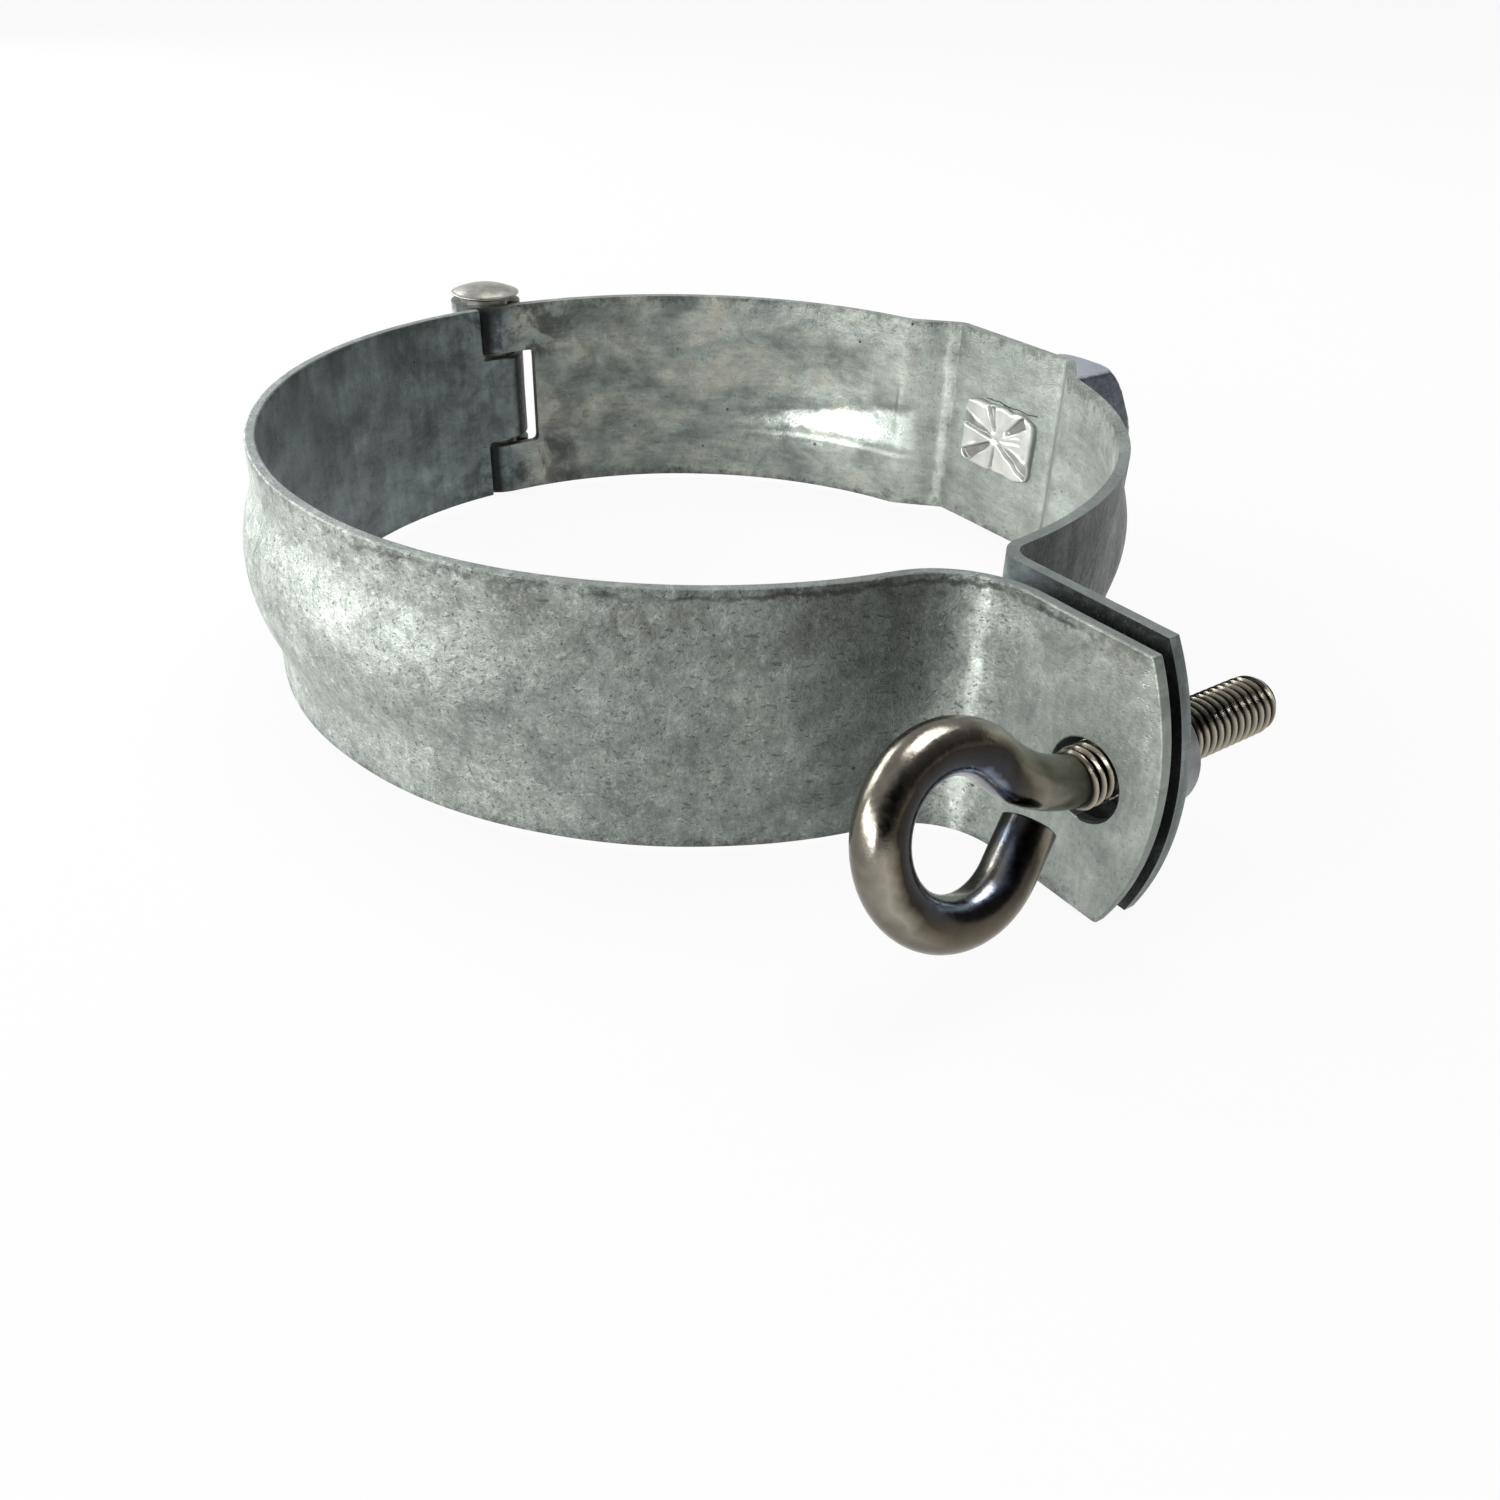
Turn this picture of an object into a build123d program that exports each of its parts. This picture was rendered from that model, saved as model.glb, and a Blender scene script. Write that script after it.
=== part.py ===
from build123d import *
from math import atan2, cos, degrees, radians, sin, sqrt
import os

# Hinged pipe clamp for a round downpipe: two half rings of galvanised strip that meet in a
# rolled hinge, and two flat ears drawn together by an eye bolt. A threaded boss is staked
# through the flat seat of the rear half and takes the hanger that holds the clamp.
#
# Frame, in millimetres: the origin is the centre of the bore at half the strip's width, +Z is
# the bore's axis, +X points at the ears and +Y at the boss. The hinge is on the -X side.

# Strip and ring
PIPE_R = 50.0
STRIP_T = 1.25
STRIP_W = 28.2
MID_R = PIPE_R + STRIP_T / 2
OUTER_R = PIPE_R + STRIP_T

# Ears
EAR_GAP = 2.6
FRONT_EAR_TIP_X = 76.6
FRONT_EAR_CORNER_X = 73.0
REAR_EAR_TIP_X = 75.8
REAR_EAR_TOP_X = 71.4
REAR_EAR_BOTTOM_X = 73.2
EAR_HOLE_D = 8.0
EAR_HOLE_X = 68.5
FRONT_HOLE_DROP = 0.5
FRONT_EAR_BEND_R = 10.0
REAR_EAR_BEND_R = 3.0
EAR_MID_Y = (EAR_GAP + STRIP_T) / 2
EAR_OUTER_Y = EAR_GAP / 2 + STRIP_T

# Rolled hinge: tabs of the rear half stand above and below one tongue of the front half
HINGE_AT = 181.2
PIN_D = 7.4
PIN_CLEARANCE = 0.05
KNUCKLE_MID_R = PIN_D / 2 + PIN_CLEARANCE + STRIP_T / 2
HINGE_R = MID_R + KNUCKLE_MID_R
KNUCKLE_ROLL = 314.0
TONGUE_TOP = 6.6
TONGUE_BOTTOM = -5.7
TAB_GAP_TOP = 0.8
TAB_GAP_BOTTOM = 1.0
FRONT_CUT_BACK = 3.5
REAR_CUT_BACK = 4.9
CUT_CORNER_R = 1.2

# Rivet of the hinge
PIN_HEAD_D = 9.8
PIN_HEAD_H = 1.5
PIN_HEAD_GAP = 0.8
PIN_TAIL_D = 8.8
PIN_TAIL_H = 0.9

# Flat seat of the boss, joggled out of the ring
SEAT_OUT = 3.0
SEAT_HALF = 10.6
SEAT_ANGLE = 18.5
SEAT_CREASE_R = 1.4
SEAT_ROOT_R = 3.0
SEAT_INNER_Y = PIPE_R + SEAT_OUT
SEAT_OUTER_Y = SEAT_INNER_Y + STRIP_T

# Beads pressed outwards to stiffen the strip
BEAD_OUT = 2.4
BEAD_HALF_H = 8.5
BEAD_Z = 0.9
FRONT_BEAD_AT = 271.0
FRONT_BEAD_SPAN = 45.0
REAR_BEADS_AT = (125.0, 55.0)
REAR_BEAD_SPAN = 18.5
BEAD_ROOT_R = 5.0

# Mounting boss: a chamfered hexagon with a rectangular spigot staked over inside the seat
BOSS_ACROSS_FLATS = 18.0
BOSS_LENGTH = 16.0
BOSS_FACE_D = 17.0
BOSS_CHAMFER = 1.1
BOSS_THREAD_D = 10.0
BOSS_THREAD_PITCH = 1.5
BOSS_THREAD_DEPTH = 14.0
SPIGOT_W = 11.0
SPIGOT_H = 6.6
STAKE_W = 14.0
STAKE_H = 9.8
STAKE_OUT = 1.0
STAKE_CORNER_R = 2.2
STAKE_EDGE_R = 0.45
STAR_GROOVE_W = 0.9

# Ear nut, clinched in the rear ear
NUT_D = 11.5
NUT_H = 4.4
NUT_CHAMFER = 0.7

# Eye bolt
BOLT_D = 6.0
BOLT_CLEARANCE = 0.05
ROD_D = 5.1
THREAD_START_Y = -4.4
THREAD_END_Y = 22.5
THREAD_TIP_R = 2.2
THREAD_RUNOUT = 0.35
EYE_Y = -18.5
EYE_DROP = 0.3
EYE_R = 7.6
EYE_NECK_R = 13.0
EYE_TILT = 22.5
EYE_ARC_END = 44.0
EYE_TAIL = 4.7


def polar(radius, angle):
    """Point of the plan at an angle from +X."""
    return (radius * cos(radians(angle)), radius * sin(radians(angle)))


def ring_arc(start, size):
    """Stretch of the strip's middle line that follows the pipe."""
    return CenterArc((0, 0), MID_R, start, size)


def rounded(wire, corner, radius):
    """The wire with one corner bent to a radius."""
    nearest = wire.vertices().sort_by_distance((corner[0], corner[1], 0))[0]
    return wire.fillet_2d(radius, [nearest])


def strip(middle_line, bottom, top):
    """Sheet metal that stands on a middle line in plan, from one height to another."""
    plan = trace(middle_line, STRIP_T)
    return Pos(0, 0, bottom) * extrude(plan, top - bottom)


def ear_root_angle():
    """Angle at which the ear's straight middle line meets the ring's."""
    return degrees(atan2(EAR_MID_Y, sqrt(MID_R**2 - EAR_MID_Y**2)))


def front_middle_line():
    """Middle line of the front half, from the ear's tip to the hinge."""
    root = ear_root_angle()
    corner = polar(MID_R, -root)
    ear = Line((FRONT_EAR_TIP_X + 1, -EAR_MID_Y), corner)
    ring = ring_arc(-root, HINGE_AT - 360 + root)
    return rounded(Wire([ear.edge(), ring.edge()]), corner, FRONT_EAR_BEND_R)


def rear_middle_line():
    """Middle line of the rear half, from the ear's tip over the seat to the hinge."""
    root = ear_root_angle()
    corner = polar(MID_R, root)
    foot = polar(MID_R, 90 - SEAT_ANGLE)
    crease = (SEAT_HALF, SEAT_INNER_Y + STRIP_T / 2)
    far_crease = (-crease[0], crease[1])
    far_foot = (-foot[0], foot[1])
    pieces = [
        Line((FRONT_EAR_TIP_X + 1, EAR_MID_Y), corner),
        ring_arc(root, 90 - SEAT_ANGLE - root),
        Line(foot, crease),
        Line(crease, far_crease),
        Line(far_crease, far_foot),
        ring_arc(90 + SEAT_ANGLE, HINGE_AT - 90 - SEAT_ANGLE),
    ]
    line = Wire([piece.edge() for piece in pieces])
    line = rounded(line, corner, REAR_EAR_BEND_R)
    for point in (crease, far_crease):
        line = rounded(line, point, SEAT_CREASE_R)
    for point in (foot, far_foot):
        line = rounded(line, point, SEAT_ROOT_R)
    return line


def at_hinge(shape):
    """Turns a shape drawn with the pin on the +X axis to the hinge's place."""
    return Rot(0, 0, HINGE_AT) * shape


def knuckle(bottom, top, side):
    """Strip rolled outwards round the pin; side is +1 for the front half and -1 for the rear."""
    roll = CenterArc((HINGE_R, 0), KNUCKLE_MID_R, 180, side * KNUCKLE_ROLL)
    return at_hinge(strip(roll, bottom, top))


def hinge_cut(side, cut_back, bottom, top):
    """Cutter that clears the other half's knuckle, with rounded inner corners."""
    near = side * cut_back
    far = -2 * side * cut_back
    window = Rectangle(abs(far - near), top - bottom)
    window = Plane.YZ * Pos((near + far) / 2, (bottom + top) / 2) * window
    corners = window.vertices().filter_by_position(Axis.Y, near - 0.01, near + 0.01)
    inside = corners.filter_by_position(Axis.Z, -STRIP_W / 2, STRIP_W / 2)
    window = fillet(inside, CUT_CORNER_R)
    return at_hinge(Pos(PIPE_R - STRIP_T, 0, 0) * extrude(window, 3 * STRIP_T))


def ear_outline(top_x, tip_x, bottom_x):
    """Keeps an ear inside its rounded tip, seen along Y."""
    half = STRIP_W / 2
    tip = ThreePointArc((top_x, half), (tip_x, 0), (bottom_x, -half))
    far = -2 * PIPE_R
    back = Polyline((bottom_x, -half), (far, -half), (far, half), (top_x, half))
    side = Plane.XZ * make_face(tip + back)
    return extrude(side, 2 * PIPE_R, both=True)


def ear_hole(drop):
    """Hole of the eye bolt in an ear, a little below the bolt's line where drop says so."""
    return Pos(EAR_HOLE_X, 0, -drop) * Rot(90, 0, 0) * Cylinder(EAR_HOLE_D / 2, 4 * EAR_OUTER_Y)


def bead_solid(at, span, inward):
    """Body of revolution about an axis beside the bore's, which swells out of the ring.

    inward is 0 for the outside of the bead and the strip's thickness for its inside.
    """
    crest = OUTER_R + BEAD_OUT
    offset = (crest**2 - OUTER_R**2) / (2 * (crest - OUTER_R * cos(radians(span))))
    profile_r = (BEAD_HALF_H**2 + BEAD_OUT**2) / (2 * BEAD_OUT)
    edge_r = crest - offset
    centre = edge_r - profile_r
    reach = sqrt((profile_r - inward) ** 2 - (PIPE_R - 2 - offset - centre) ** 2)
    arc = ThreePointArc((PIPE_R - 2 - offset, -reach), (edge_r - inward, 0), (PIPE_R - 2 - offset, reach))
    chord = Line(arc @ 1, arc @ 0)
    section = Plane.XZ * make_face(arc + chord)
    body = revolve(section, Axis.Z)
    return Rot(0, 0, at) * Pos(offset, 0, BEAD_Z) * body


def bore():
    return Cylinder(PIPE_R, 2 * STRIP_W)


def with_bead(half, at, span):
    """Presses one bead into a half ring, at the strip's own thickness."""
    body = half + (bead_solid(at, span, 0) - bore()) - bead_solid(at, span, STRIP_T)
    seams = [edge for edge in body.edges() if edge.geom_type == GeomType.BSPLINE]
    middle = Vector(*polar(OUTER_R, at), BEAD_Z)
    outer_seam = [edge for edge in seams if is_outer_seam(edge, middle)]
    return fillet(outer_seam, BEAD_ROOT_R)


def is_outer_seam(edge, middle):
    """Whether an edge lies on the ring's outside, round the bead at this place."""
    point = edge @ 0.25
    radius = sqrt(point.X**2 + point.Y**2)
    return abs(radius - OUTER_R) < 0.02 and (point - middle).length < PIPE_R


def front_half():
    """Half ring with the front ear, one long bead and the hinge's tongue."""
    half = STRIP_W / 2
    body = strip(front_middle_line(), -half, half)
    body = with_bead(body, FRONT_BEAD_AT, FRONT_BEAD_SPAN)
    body -= hinge_cut(1, FRONT_CUT_BACK, TONGUE_TOP, STRIP_W)
    body -= hinge_cut(1, FRONT_CUT_BACK, -STRIP_W, TONGUE_BOTTOM)
    body += knuckle(TONGUE_BOTTOM, TONGUE_TOP, 1)
    body &= ear_outline(FRONT_EAR_CORNER_X, FRONT_EAR_TIP_X, FRONT_EAR_CORNER_X)
    return body - ear_hole(FRONT_HOLE_DROP)


def seat_hole():
    return Pos(0, SEAT_OUTER_Y, 0) * Box(SPIGOT_W, 4 * STRIP_T, SPIGOT_H)


def rear_half():
    """Half ring with the rear ear, the boss's flat seat, two beads and the hinge's tabs."""
    half = STRIP_W / 2
    body = strip(rear_middle_line(), -half, half)
    for at in REAR_BEADS_AT:
        body = with_bead(body, at, REAR_BEAD_SPAN)
    window_top = TONGUE_TOP + TAB_GAP_TOP
    window_bottom = TONGUE_BOTTOM - TAB_GAP_BOTTOM
    body -= hinge_cut(-1, REAR_CUT_BACK, window_bottom, window_top)
    body += knuckle(window_top, half, -1)
    body += knuckle(-half, window_bottom, -1)
    body &= ear_outline(REAR_EAR_TOP_X, REAR_EAR_TIP_X, REAR_EAR_BOTTOM_X)
    return body - ear_hole(0) - seat_hole()


def dome(diameter, height):
    """Low spherical cap that rises from z = 0."""
    radius = (diameter**2 / 4 + height**2) / (2 * height)
    cap = Pos(0, 0, height - radius) * Sphere(radius)
    return cap & Pos(0, 0, height / 2) * Cylinder(diameter, height)


def hinge_pin():
    """Rivet with a low domed head on top and its tail peened over below."""
    half = STRIP_W / 2
    seat = half + PIN_HEAD_GAP
    pin = Pos(0, 0, PIN_HEAD_GAP / 2) * Cylinder(PIN_D / 2, STRIP_W + PIN_HEAD_GAP)
    pin += Pos(0, 0, seat) * dome(PIN_HEAD_D, PIN_HEAD_H)
    pin += Pos(0, 0, -half) * Rot(180, 0, 0) * dome(PIN_TAIL_D, PIN_TAIL_H)
    return at_hinge(Pos(HINGE_R, 0, 0) * pin)


def staked_head():
    """Spigot's end, spread over the seat and pressed with an eight-rayed star."""
    outline = RectangleRounded(STAKE_W, STAKE_H, STAKE_CORNER_R)
    head = extrude(outline, STAKE_OUT)
    head = fillet(head.faces().sort_by(Axis.Z)[-1].edges(), STAKE_EDGE_R)
    groove = Pos(0, 0, STAKE_OUT) * Rot(45, 0, 0) * Box(
        2 * STAKE_W, STAR_GROOVE_W / sqrt(2), STAR_GROOVE_W / sqrt(2)
    )
    corner = degrees(atan2(STAKE_H, STAKE_W))
    for turn in (0, corner, 90, 180 - corner):
        head -= Rot(0, 0, turn) * groove
    return head


def mounting_boss():
    """Hexagonal boss with a blind thread, on the outside of the seat."""
    across = BOSS_ACROSS_FLATS
    corner_r = across / sqrt(3)
    body = extrude(RegularPolygon(across / 2, 6, major_radius=False), BOSS_LENGTH)
    turned = Pos(0, 0, BOSS_LENGTH / 2) * Cylinder(corner_r, BOSS_LENGTH)
    end = turned.faces().sort_by(Axis.Z)[-1]
    body &= chamfer(end.edges(), corner_r - BOSS_FACE_D / 2, BOSS_CHAMFER, reference=end)
    minor = BOSS_THREAD_D / 2 - 0.541 * BOSS_THREAD_PITCH
    body -= Pos(0, 0, BOSS_LENGTH - BOSS_THREAD_DEPTH / 2) * Cylinder(minor, BOSS_THREAD_DEPTH)
    mouth = BOSS_THREAD_D / 2 - minor
    body -= Pos(0, 0, BOSS_LENGTH - mouth / 2) * Cone(minor, BOSS_THREAD_D / 2, mouth)
    body += Pos(0, 0, -STRIP_T / 2) * Box(SPIGOT_W, SPIGOT_H, STRIP_T)
    body += Pos(0, 0, -STRIP_T) * Rot(180, 0, 0) * staked_head()
    return Pos(0, SEAT_OUTER_Y, 0) * Rot(-90, 0, 0) * body


def ear_nut():
    """Round nut on the outside of the rear ear, with a spigot clinched in the ear's hole."""
    body = Pos(0, 0, NUT_H / 2) * Cylinder(NUT_D / 2, NUT_H)
    body = chamfer(body.edges().filter_by(GeomType.CIRCLE).sort_by(Axis.Z)[-1], NUT_CHAMFER)
    body += Pos(0, 0, -STRIP_T / 2) * Cylinder(EAR_HOLE_D / 2, STRIP_T)
    body -= Cylinder(BOLT_D / 2 + BOLT_CLEARANCE, 4 * NUT_H)
    return Pos(EAR_HOLE_X, EAR_OUTER_Y, 0) * Rot(-90, 0, 0) * body


def eye_bolt():
    """Round rod, threaded at one end and bent round to an open eye at the other.

    It is drawn in its own plane: the first axis runs along the shank from the eye's centre,
    the second one to the side on which the neck leaves the shank's line.
    """
    neck_centre = EYE_NECK_R + EYE_DROP
    neck_start = sqrt((EYE_R + EYE_NECK_R) ** 2 - neck_centre**2)
    lean = degrees(atan2(neck_centre, neck_start))
    shank = Line((THREAD_START_Y - EYE_Y + ROD_D, 0), (neck_start, 0))
    neck = CenterArc((neck_start, EYE_NECK_R), EYE_NECK_R, 270, lean - 90)
    eye = CenterArc((0, -EYE_DROP), EYE_R, lean, 360 - EYE_ARC_END - lean)
    tail = Line(eye @ 1, eye @ 1 + EYE_TAIL * (eye % 1))
    path = Wire([piece.edge() for piece in (shank, neck, eye, tail)])
    tilt = radians(EYE_TILT)
    plane = Plane(
        origin=(EAR_HOLE_X, EYE_Y, 0), x_dir=(0, 1, 0), z_dir=(cos(tilt), 0, sin(tilt))
    )
    path = plane.from_local_coords(path)
    section = Plane(origin=path @ 0, z_dir=path % 0) * Circle(ROD_D / 2)
    rod = sweep(section, path)
    length = THREAD_END_Y - THREAD_START_Y
    thread = Cylinder(BOLT_D / 2, length, align=(Align.CENTER, Align.CENTER, Align.MIN))
    ends = thread.edges().filter_by(GeomType.CIRCLE).sort_by(Axis.Z)
    thread = chamfer(ends[0], THREAD_RUNOUT)
    ends = thread.edges().filter_by(GeomType.CIRCLE).sort_by(Axis.Z)
    thread = fillet(ends[-1], THREAD_TIP_R)
    thread = Pos(EAR_HOLE_X, THREAD_START_Y, 0) * Rot(-90, 0, 0) * thread
    return rod + thread


NODES = {
    "front_half": front_half,
    "rear_half": rear_half,
    "hinge_pin": hinge_pin,
    "mounting_boss": mounting_boss,
    "ear_nut": ear_nut,
    "eye_bolt": eye_bolt,
}

os.makedirs("parts", exist_ok=True)
for name, make in NODES.items():
    export_step(make(), f"parts/{name}.step")
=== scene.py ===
# %% [markdown]
# # A hinged pipe clamp in galvanised strip
# The clamp is two half rings of zinc-coated strip. They turn about a rivet on one side and are
# drawn together on the other by an eye bolt through two flat ears. A threaded boss is staked
# through the rear half. The engineering model is loaded first and fixes where everything is.
# After that each part is built again with its real surface, in the order a workshop makes it.
#
# All the drawing below is in millimetres, in the frame of the engineering model: the bore
# stands on the origin along Z, the ears point to +X and the boss to +Y. A part is turned into
# metres only when it is finished.

# %% Load the engineering model
from math import atan2, cos, hypot, pi, radians, sin, sqrt, tan

import bmesh
import bpy
from mathutils import Matrix, Vector, noise


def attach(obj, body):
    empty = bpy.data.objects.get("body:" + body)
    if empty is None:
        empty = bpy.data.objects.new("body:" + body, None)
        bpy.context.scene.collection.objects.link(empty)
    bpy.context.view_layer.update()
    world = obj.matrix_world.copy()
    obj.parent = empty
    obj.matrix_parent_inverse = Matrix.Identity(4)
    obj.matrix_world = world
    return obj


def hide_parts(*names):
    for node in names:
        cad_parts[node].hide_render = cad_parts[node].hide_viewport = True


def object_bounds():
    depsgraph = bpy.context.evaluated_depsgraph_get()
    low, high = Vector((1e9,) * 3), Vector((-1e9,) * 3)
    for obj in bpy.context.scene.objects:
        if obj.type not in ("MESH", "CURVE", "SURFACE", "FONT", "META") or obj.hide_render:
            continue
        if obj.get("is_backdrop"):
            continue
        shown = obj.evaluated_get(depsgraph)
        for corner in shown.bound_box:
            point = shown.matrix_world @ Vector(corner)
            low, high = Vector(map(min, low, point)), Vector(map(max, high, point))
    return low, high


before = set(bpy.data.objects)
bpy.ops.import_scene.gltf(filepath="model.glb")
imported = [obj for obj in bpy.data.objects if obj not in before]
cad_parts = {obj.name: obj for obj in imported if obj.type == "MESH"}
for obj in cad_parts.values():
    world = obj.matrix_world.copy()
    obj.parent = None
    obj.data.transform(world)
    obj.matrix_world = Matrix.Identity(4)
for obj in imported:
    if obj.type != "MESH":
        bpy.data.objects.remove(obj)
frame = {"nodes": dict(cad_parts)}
cad_box = [list(corner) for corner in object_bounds()]
MM = 0.001
print("parts of the model:", ", ".join(frame["nodes"]))

# %% [markdown]
# ## Looking from where the photographer stood
# The camera comes before the parts, because every part is judged through it. Its place and
# turn were found by fitting the ring, the ears and the hinge to the photograph. A wide lens
# from close by gives the strong perspective: the eye looks large and the hinge small.

# %% Camera
camera_data = bpy.data.cameras.new("photographer")
camera_data.sensor_width = 36.0
camera_data.lens = 31.72
camera_data.clip_start = 0.005
camera = bpy.data.objects.new("photographer", camera_data)
camera.location = (0.13093, -0.08502, 0.06517)
camera.rotation_euler = (radians(57.193), radians(-1.739), radians(55.096))
bpy.context.scene.collection.objects.link(camera)
bpy.context.scene.camera = camera

# %% [markdown]
# ## Bending strip
# Real strip is cut flat and bent one corner after another. Here the same is done with the
# strip's middle surface: a standing row of points is the cut end, a run pushes it straight on,
# and a bend turns it about a standing axis. Both are the one operator spin, with an angle of
# zero for the run. Its rows and columns stay square, which keeps the pressed beads smooth.

# %% Cut, run and bend
PIPE_R = 50.0
STRIP_T = 1.25
STRIP_W = 28.2
MID_R = PIPE_R + STRIP_T / 2
HALF_W = STRIP_W / 2


def spaced(stops, cell):
    """Evenly filled heights between the stops, about one cell apart."""
    heights = [stops[0]]
    for low, high in zip(stops, stops[1:]):
        count = round((high - low) / cell)
        heights += [low + (high - low) * step / count for step in range(1, count + 1)]
    return heights


def cut_end(bm, x, y, heights):
    """The strip's standing cut end, where it is drawn from."""
    verts = [bm.verts.new((x, y, z)) for z in heights]
    edges = [bm.edges.new(pair) for pair in zip(verts, verts[1:])]
    return verts + edges


def run(bm, end, way, length, steps):
    """Push the free end straight on."""
    step = Vector(way).normalized() * (length / steps)
    made = bmesh.ops.spin(bm, geom=end, axis=(0, 0, 1), dvec=step, angle=0, steps=steps)
    return made["geom_last"]


def bend(bm, end, centre, turn, steps):
    """Turn the free end about a standing axis, anticlockwise where turn is positive."""
    made = bmesh.ops.spin(
        bm, geom=end, cent=(*centre, 0), axis=(0, 0, 1), angle=radians(turn), steps=steps
    )
    return made["geom_last"]


def between(end, low, high):
    """The part of a free end between two heights."""
    slack = 0.01
    verts = [
        item for item in end
        if isinstance(item, bmesh.types.BMVert) and low - slack < item.co.z < high + slack
    ]
    edges = [
        item for item in end
        if isinstance(item, bmesh.types.BMEdge) and all(vert in verts for vert in item.verts)
    ]
    return verts + edges


# %% [markdown]
# ## The front half
# It starts at the tip of the front ear, bends down into the ring and follows the pipe round to
# the hinge. There only a tongue in the middle of the strip goes on, and is rolled outwards into
# a knuckle for the rivet. The bend at the ear is wide and soft, as strip bends over a tool.

# %% Front half, drawn along its middle
HINGE_AT = 181.2
PIN_R = 3.7
KNUCKLE_MID_R = PIN_R + 0.05 + STRIP_T / 2
HINGE_R = MID_R + KNUCKLE_MID_R
HINGE = (HINGE_R * cos(radians(HINGE_AT)), HINGE_R * sin(radians(HINGE_AT)))
KNUCKLE_ROLL = 314.0
TONGUE = (-5.7, 6.6)
EAR_MID_Y = 1.925
CELL = 1.2


def ring_degrees(length):
    """Angle at the bore's centre that a chord of the strip covers."""
    return 2 * 180 / pi * atan2(length / 2, sqrt(MID_R**2 - length**2 / 4))


FRONT_TIP_X = 76.6
front_bend_centre = (sqrt((MID_R + 10) ** 2 - (EAR_MID_Y + 10) ** 2), -EAR_MID_Y - 10)
front_bend_at = atan2(front_bend_centre[1], front_bend_centre[0]) * 180 / pi
front_cut_back = ring_degrees(3.5)

bm = bmesh.new()
end = cut_end(bm, FRONT_TIP_X, -EAR_MID_Y, spaced([-HALF_W, *TONGUE, HALF_W], CELL))
end = run(bm, end, (-1, 0, 0), FRONT_TIP_X - front_bend_centre[0], 14)
end = bend(bm, end, front_bend_centre, 90 + front_bend_at, 14)
end = bend(bm, end, (0, 0), HINGE_AT - 360 - front_bend_at + front_cut_back, 118)
tongue = between(end, *TONGUE)
tongue = bend(bm, tongue, (0, 0), -front_cut_back, 3)
bend(bm, tongue, HINGE, KNUCKLE_ROLL, 34)
front_strip = bm
print("front strip:", len(bm.faces), "cells")

# %% [markdown]
# ## Ears
# The end of each ear is sheared to a flat curve and drilled for the bolt. The curve is made by
# sliding the points of the straight ear along it, so that the last row lands on the curve and
# the first row stays in the bend. For the hole some cells are taken out, and the rim of the gap
# is pushed in to a circle, which leaves clean four-sided cells all round it.

# %% Shear and drill an ear
EAR_HOLE_X = 68.5
EAR_HOLE_R = 4.0


def curve_through(top_x, tip_x, bottom_x):
    """Reach of the ear at a height: the circle through its two corners and its tip."""
    a, b = Vector((top_x, HALF_W)), Vector((bottom_x, -HALF_W))
    tip = Vector((tip_x, 0))
    # Centre of the circle, from two chords that start at the tip
    p, q = a - tip, b - tip
    d = 2 * (p.x * q.y - p.y * q.x)
    centre = tip + Vector((
        (q.y * p.length_squared - p.y * q.length_squared) / d,
        (p.x * q.length_squared - q.x * p.length_squared) / d,
    ))
    radius = (tip - centre).length
    return lambda z: centre.x + sqrt(radius**2 - (z - centre.y) ** 2)


def shear_ear(bm, root_x, tip_x, side, reach):
    """Slide the points of the straight ear on one side so that its end follows the reach."""
    for vert in bm.verts:
        on_ear = vert.co.x > root_x and abs(vert.co.y - side * EAR_MID_Y) < 0.01
        if on_ear:
            share = (vert.co.x - root_x) / (tip_x - root_x)
            vert.co.x += share * (reach(vert.co.z) - tip_x)


def drill_ear(bm, side, height):
    """Open a round hole in an ear."""
    middle = Vector((EAR_HOLE_X, side * EAR_MID_Y, height))
    reach = EAR_HOLE_R + 1.3
    waste = []
    for face in bm.faces:
        off = face.calc_center_median() - middle
        if abs(off.y) < 0.01 and abs(off.x) < reach and abs(off.z) < reach:
            waste.append(face)
    bmesh.ops.delete(bm, geom=waste, context="FACES")
    rim = []
    for edge in bm.edges:
        off = (edge.verts[0].co + edge.verts[1].co) / 2 - middle
        if edge.is_boundary and abs(off.y) < 0.01 and max(abs(off.x), abs(off.z)) < reach + 0.7 * CELL:
            rim.append(edge)
    pushed = bmesh.ops.extrude_edge_only(bm, edges=rim)["geom"]
    for vert in (item for item in pushed if isinstance(item, bmesh.types.BMVert)):
        way_out = vert.co - middle
        vert.co = middle + way_out.normalized() * EAR_HOLE_R
    print("hole drawn in with", len(rim), "cells")


front_reach = curve_through(73.0, FRONT_TIP_X, 73.0)
shear_ear(front_strip, front_bend_centre[0], FRONT_TIP_X, -1, front_reach)
drill_ear(front_strip, -1, -0.5)

# %% [markdown]
# ## Beads
# A long shallow bead stiffens the front half, and two short ones the rear half. Each is the
# skin of a barrel that stands beside the bore's axis and swells out of the ring. How far it
# stands out at a place is worked out, and the points are moved out by that much. A soft maximum
# rounds the line where barrel and ring meet, as the press does.

# %% Press a bead
BEAD_OUT = 2.4
BEAD_HALF_H = 8.5
BEAD_Z = 0.9
BEAD_SOFT = 0.35


def soft_max(value, softness):
    """The larger of a value and zero, with the corner between them rounded."""
    return (value + sqrt(value**2 + softness**2)) / 2


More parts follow.
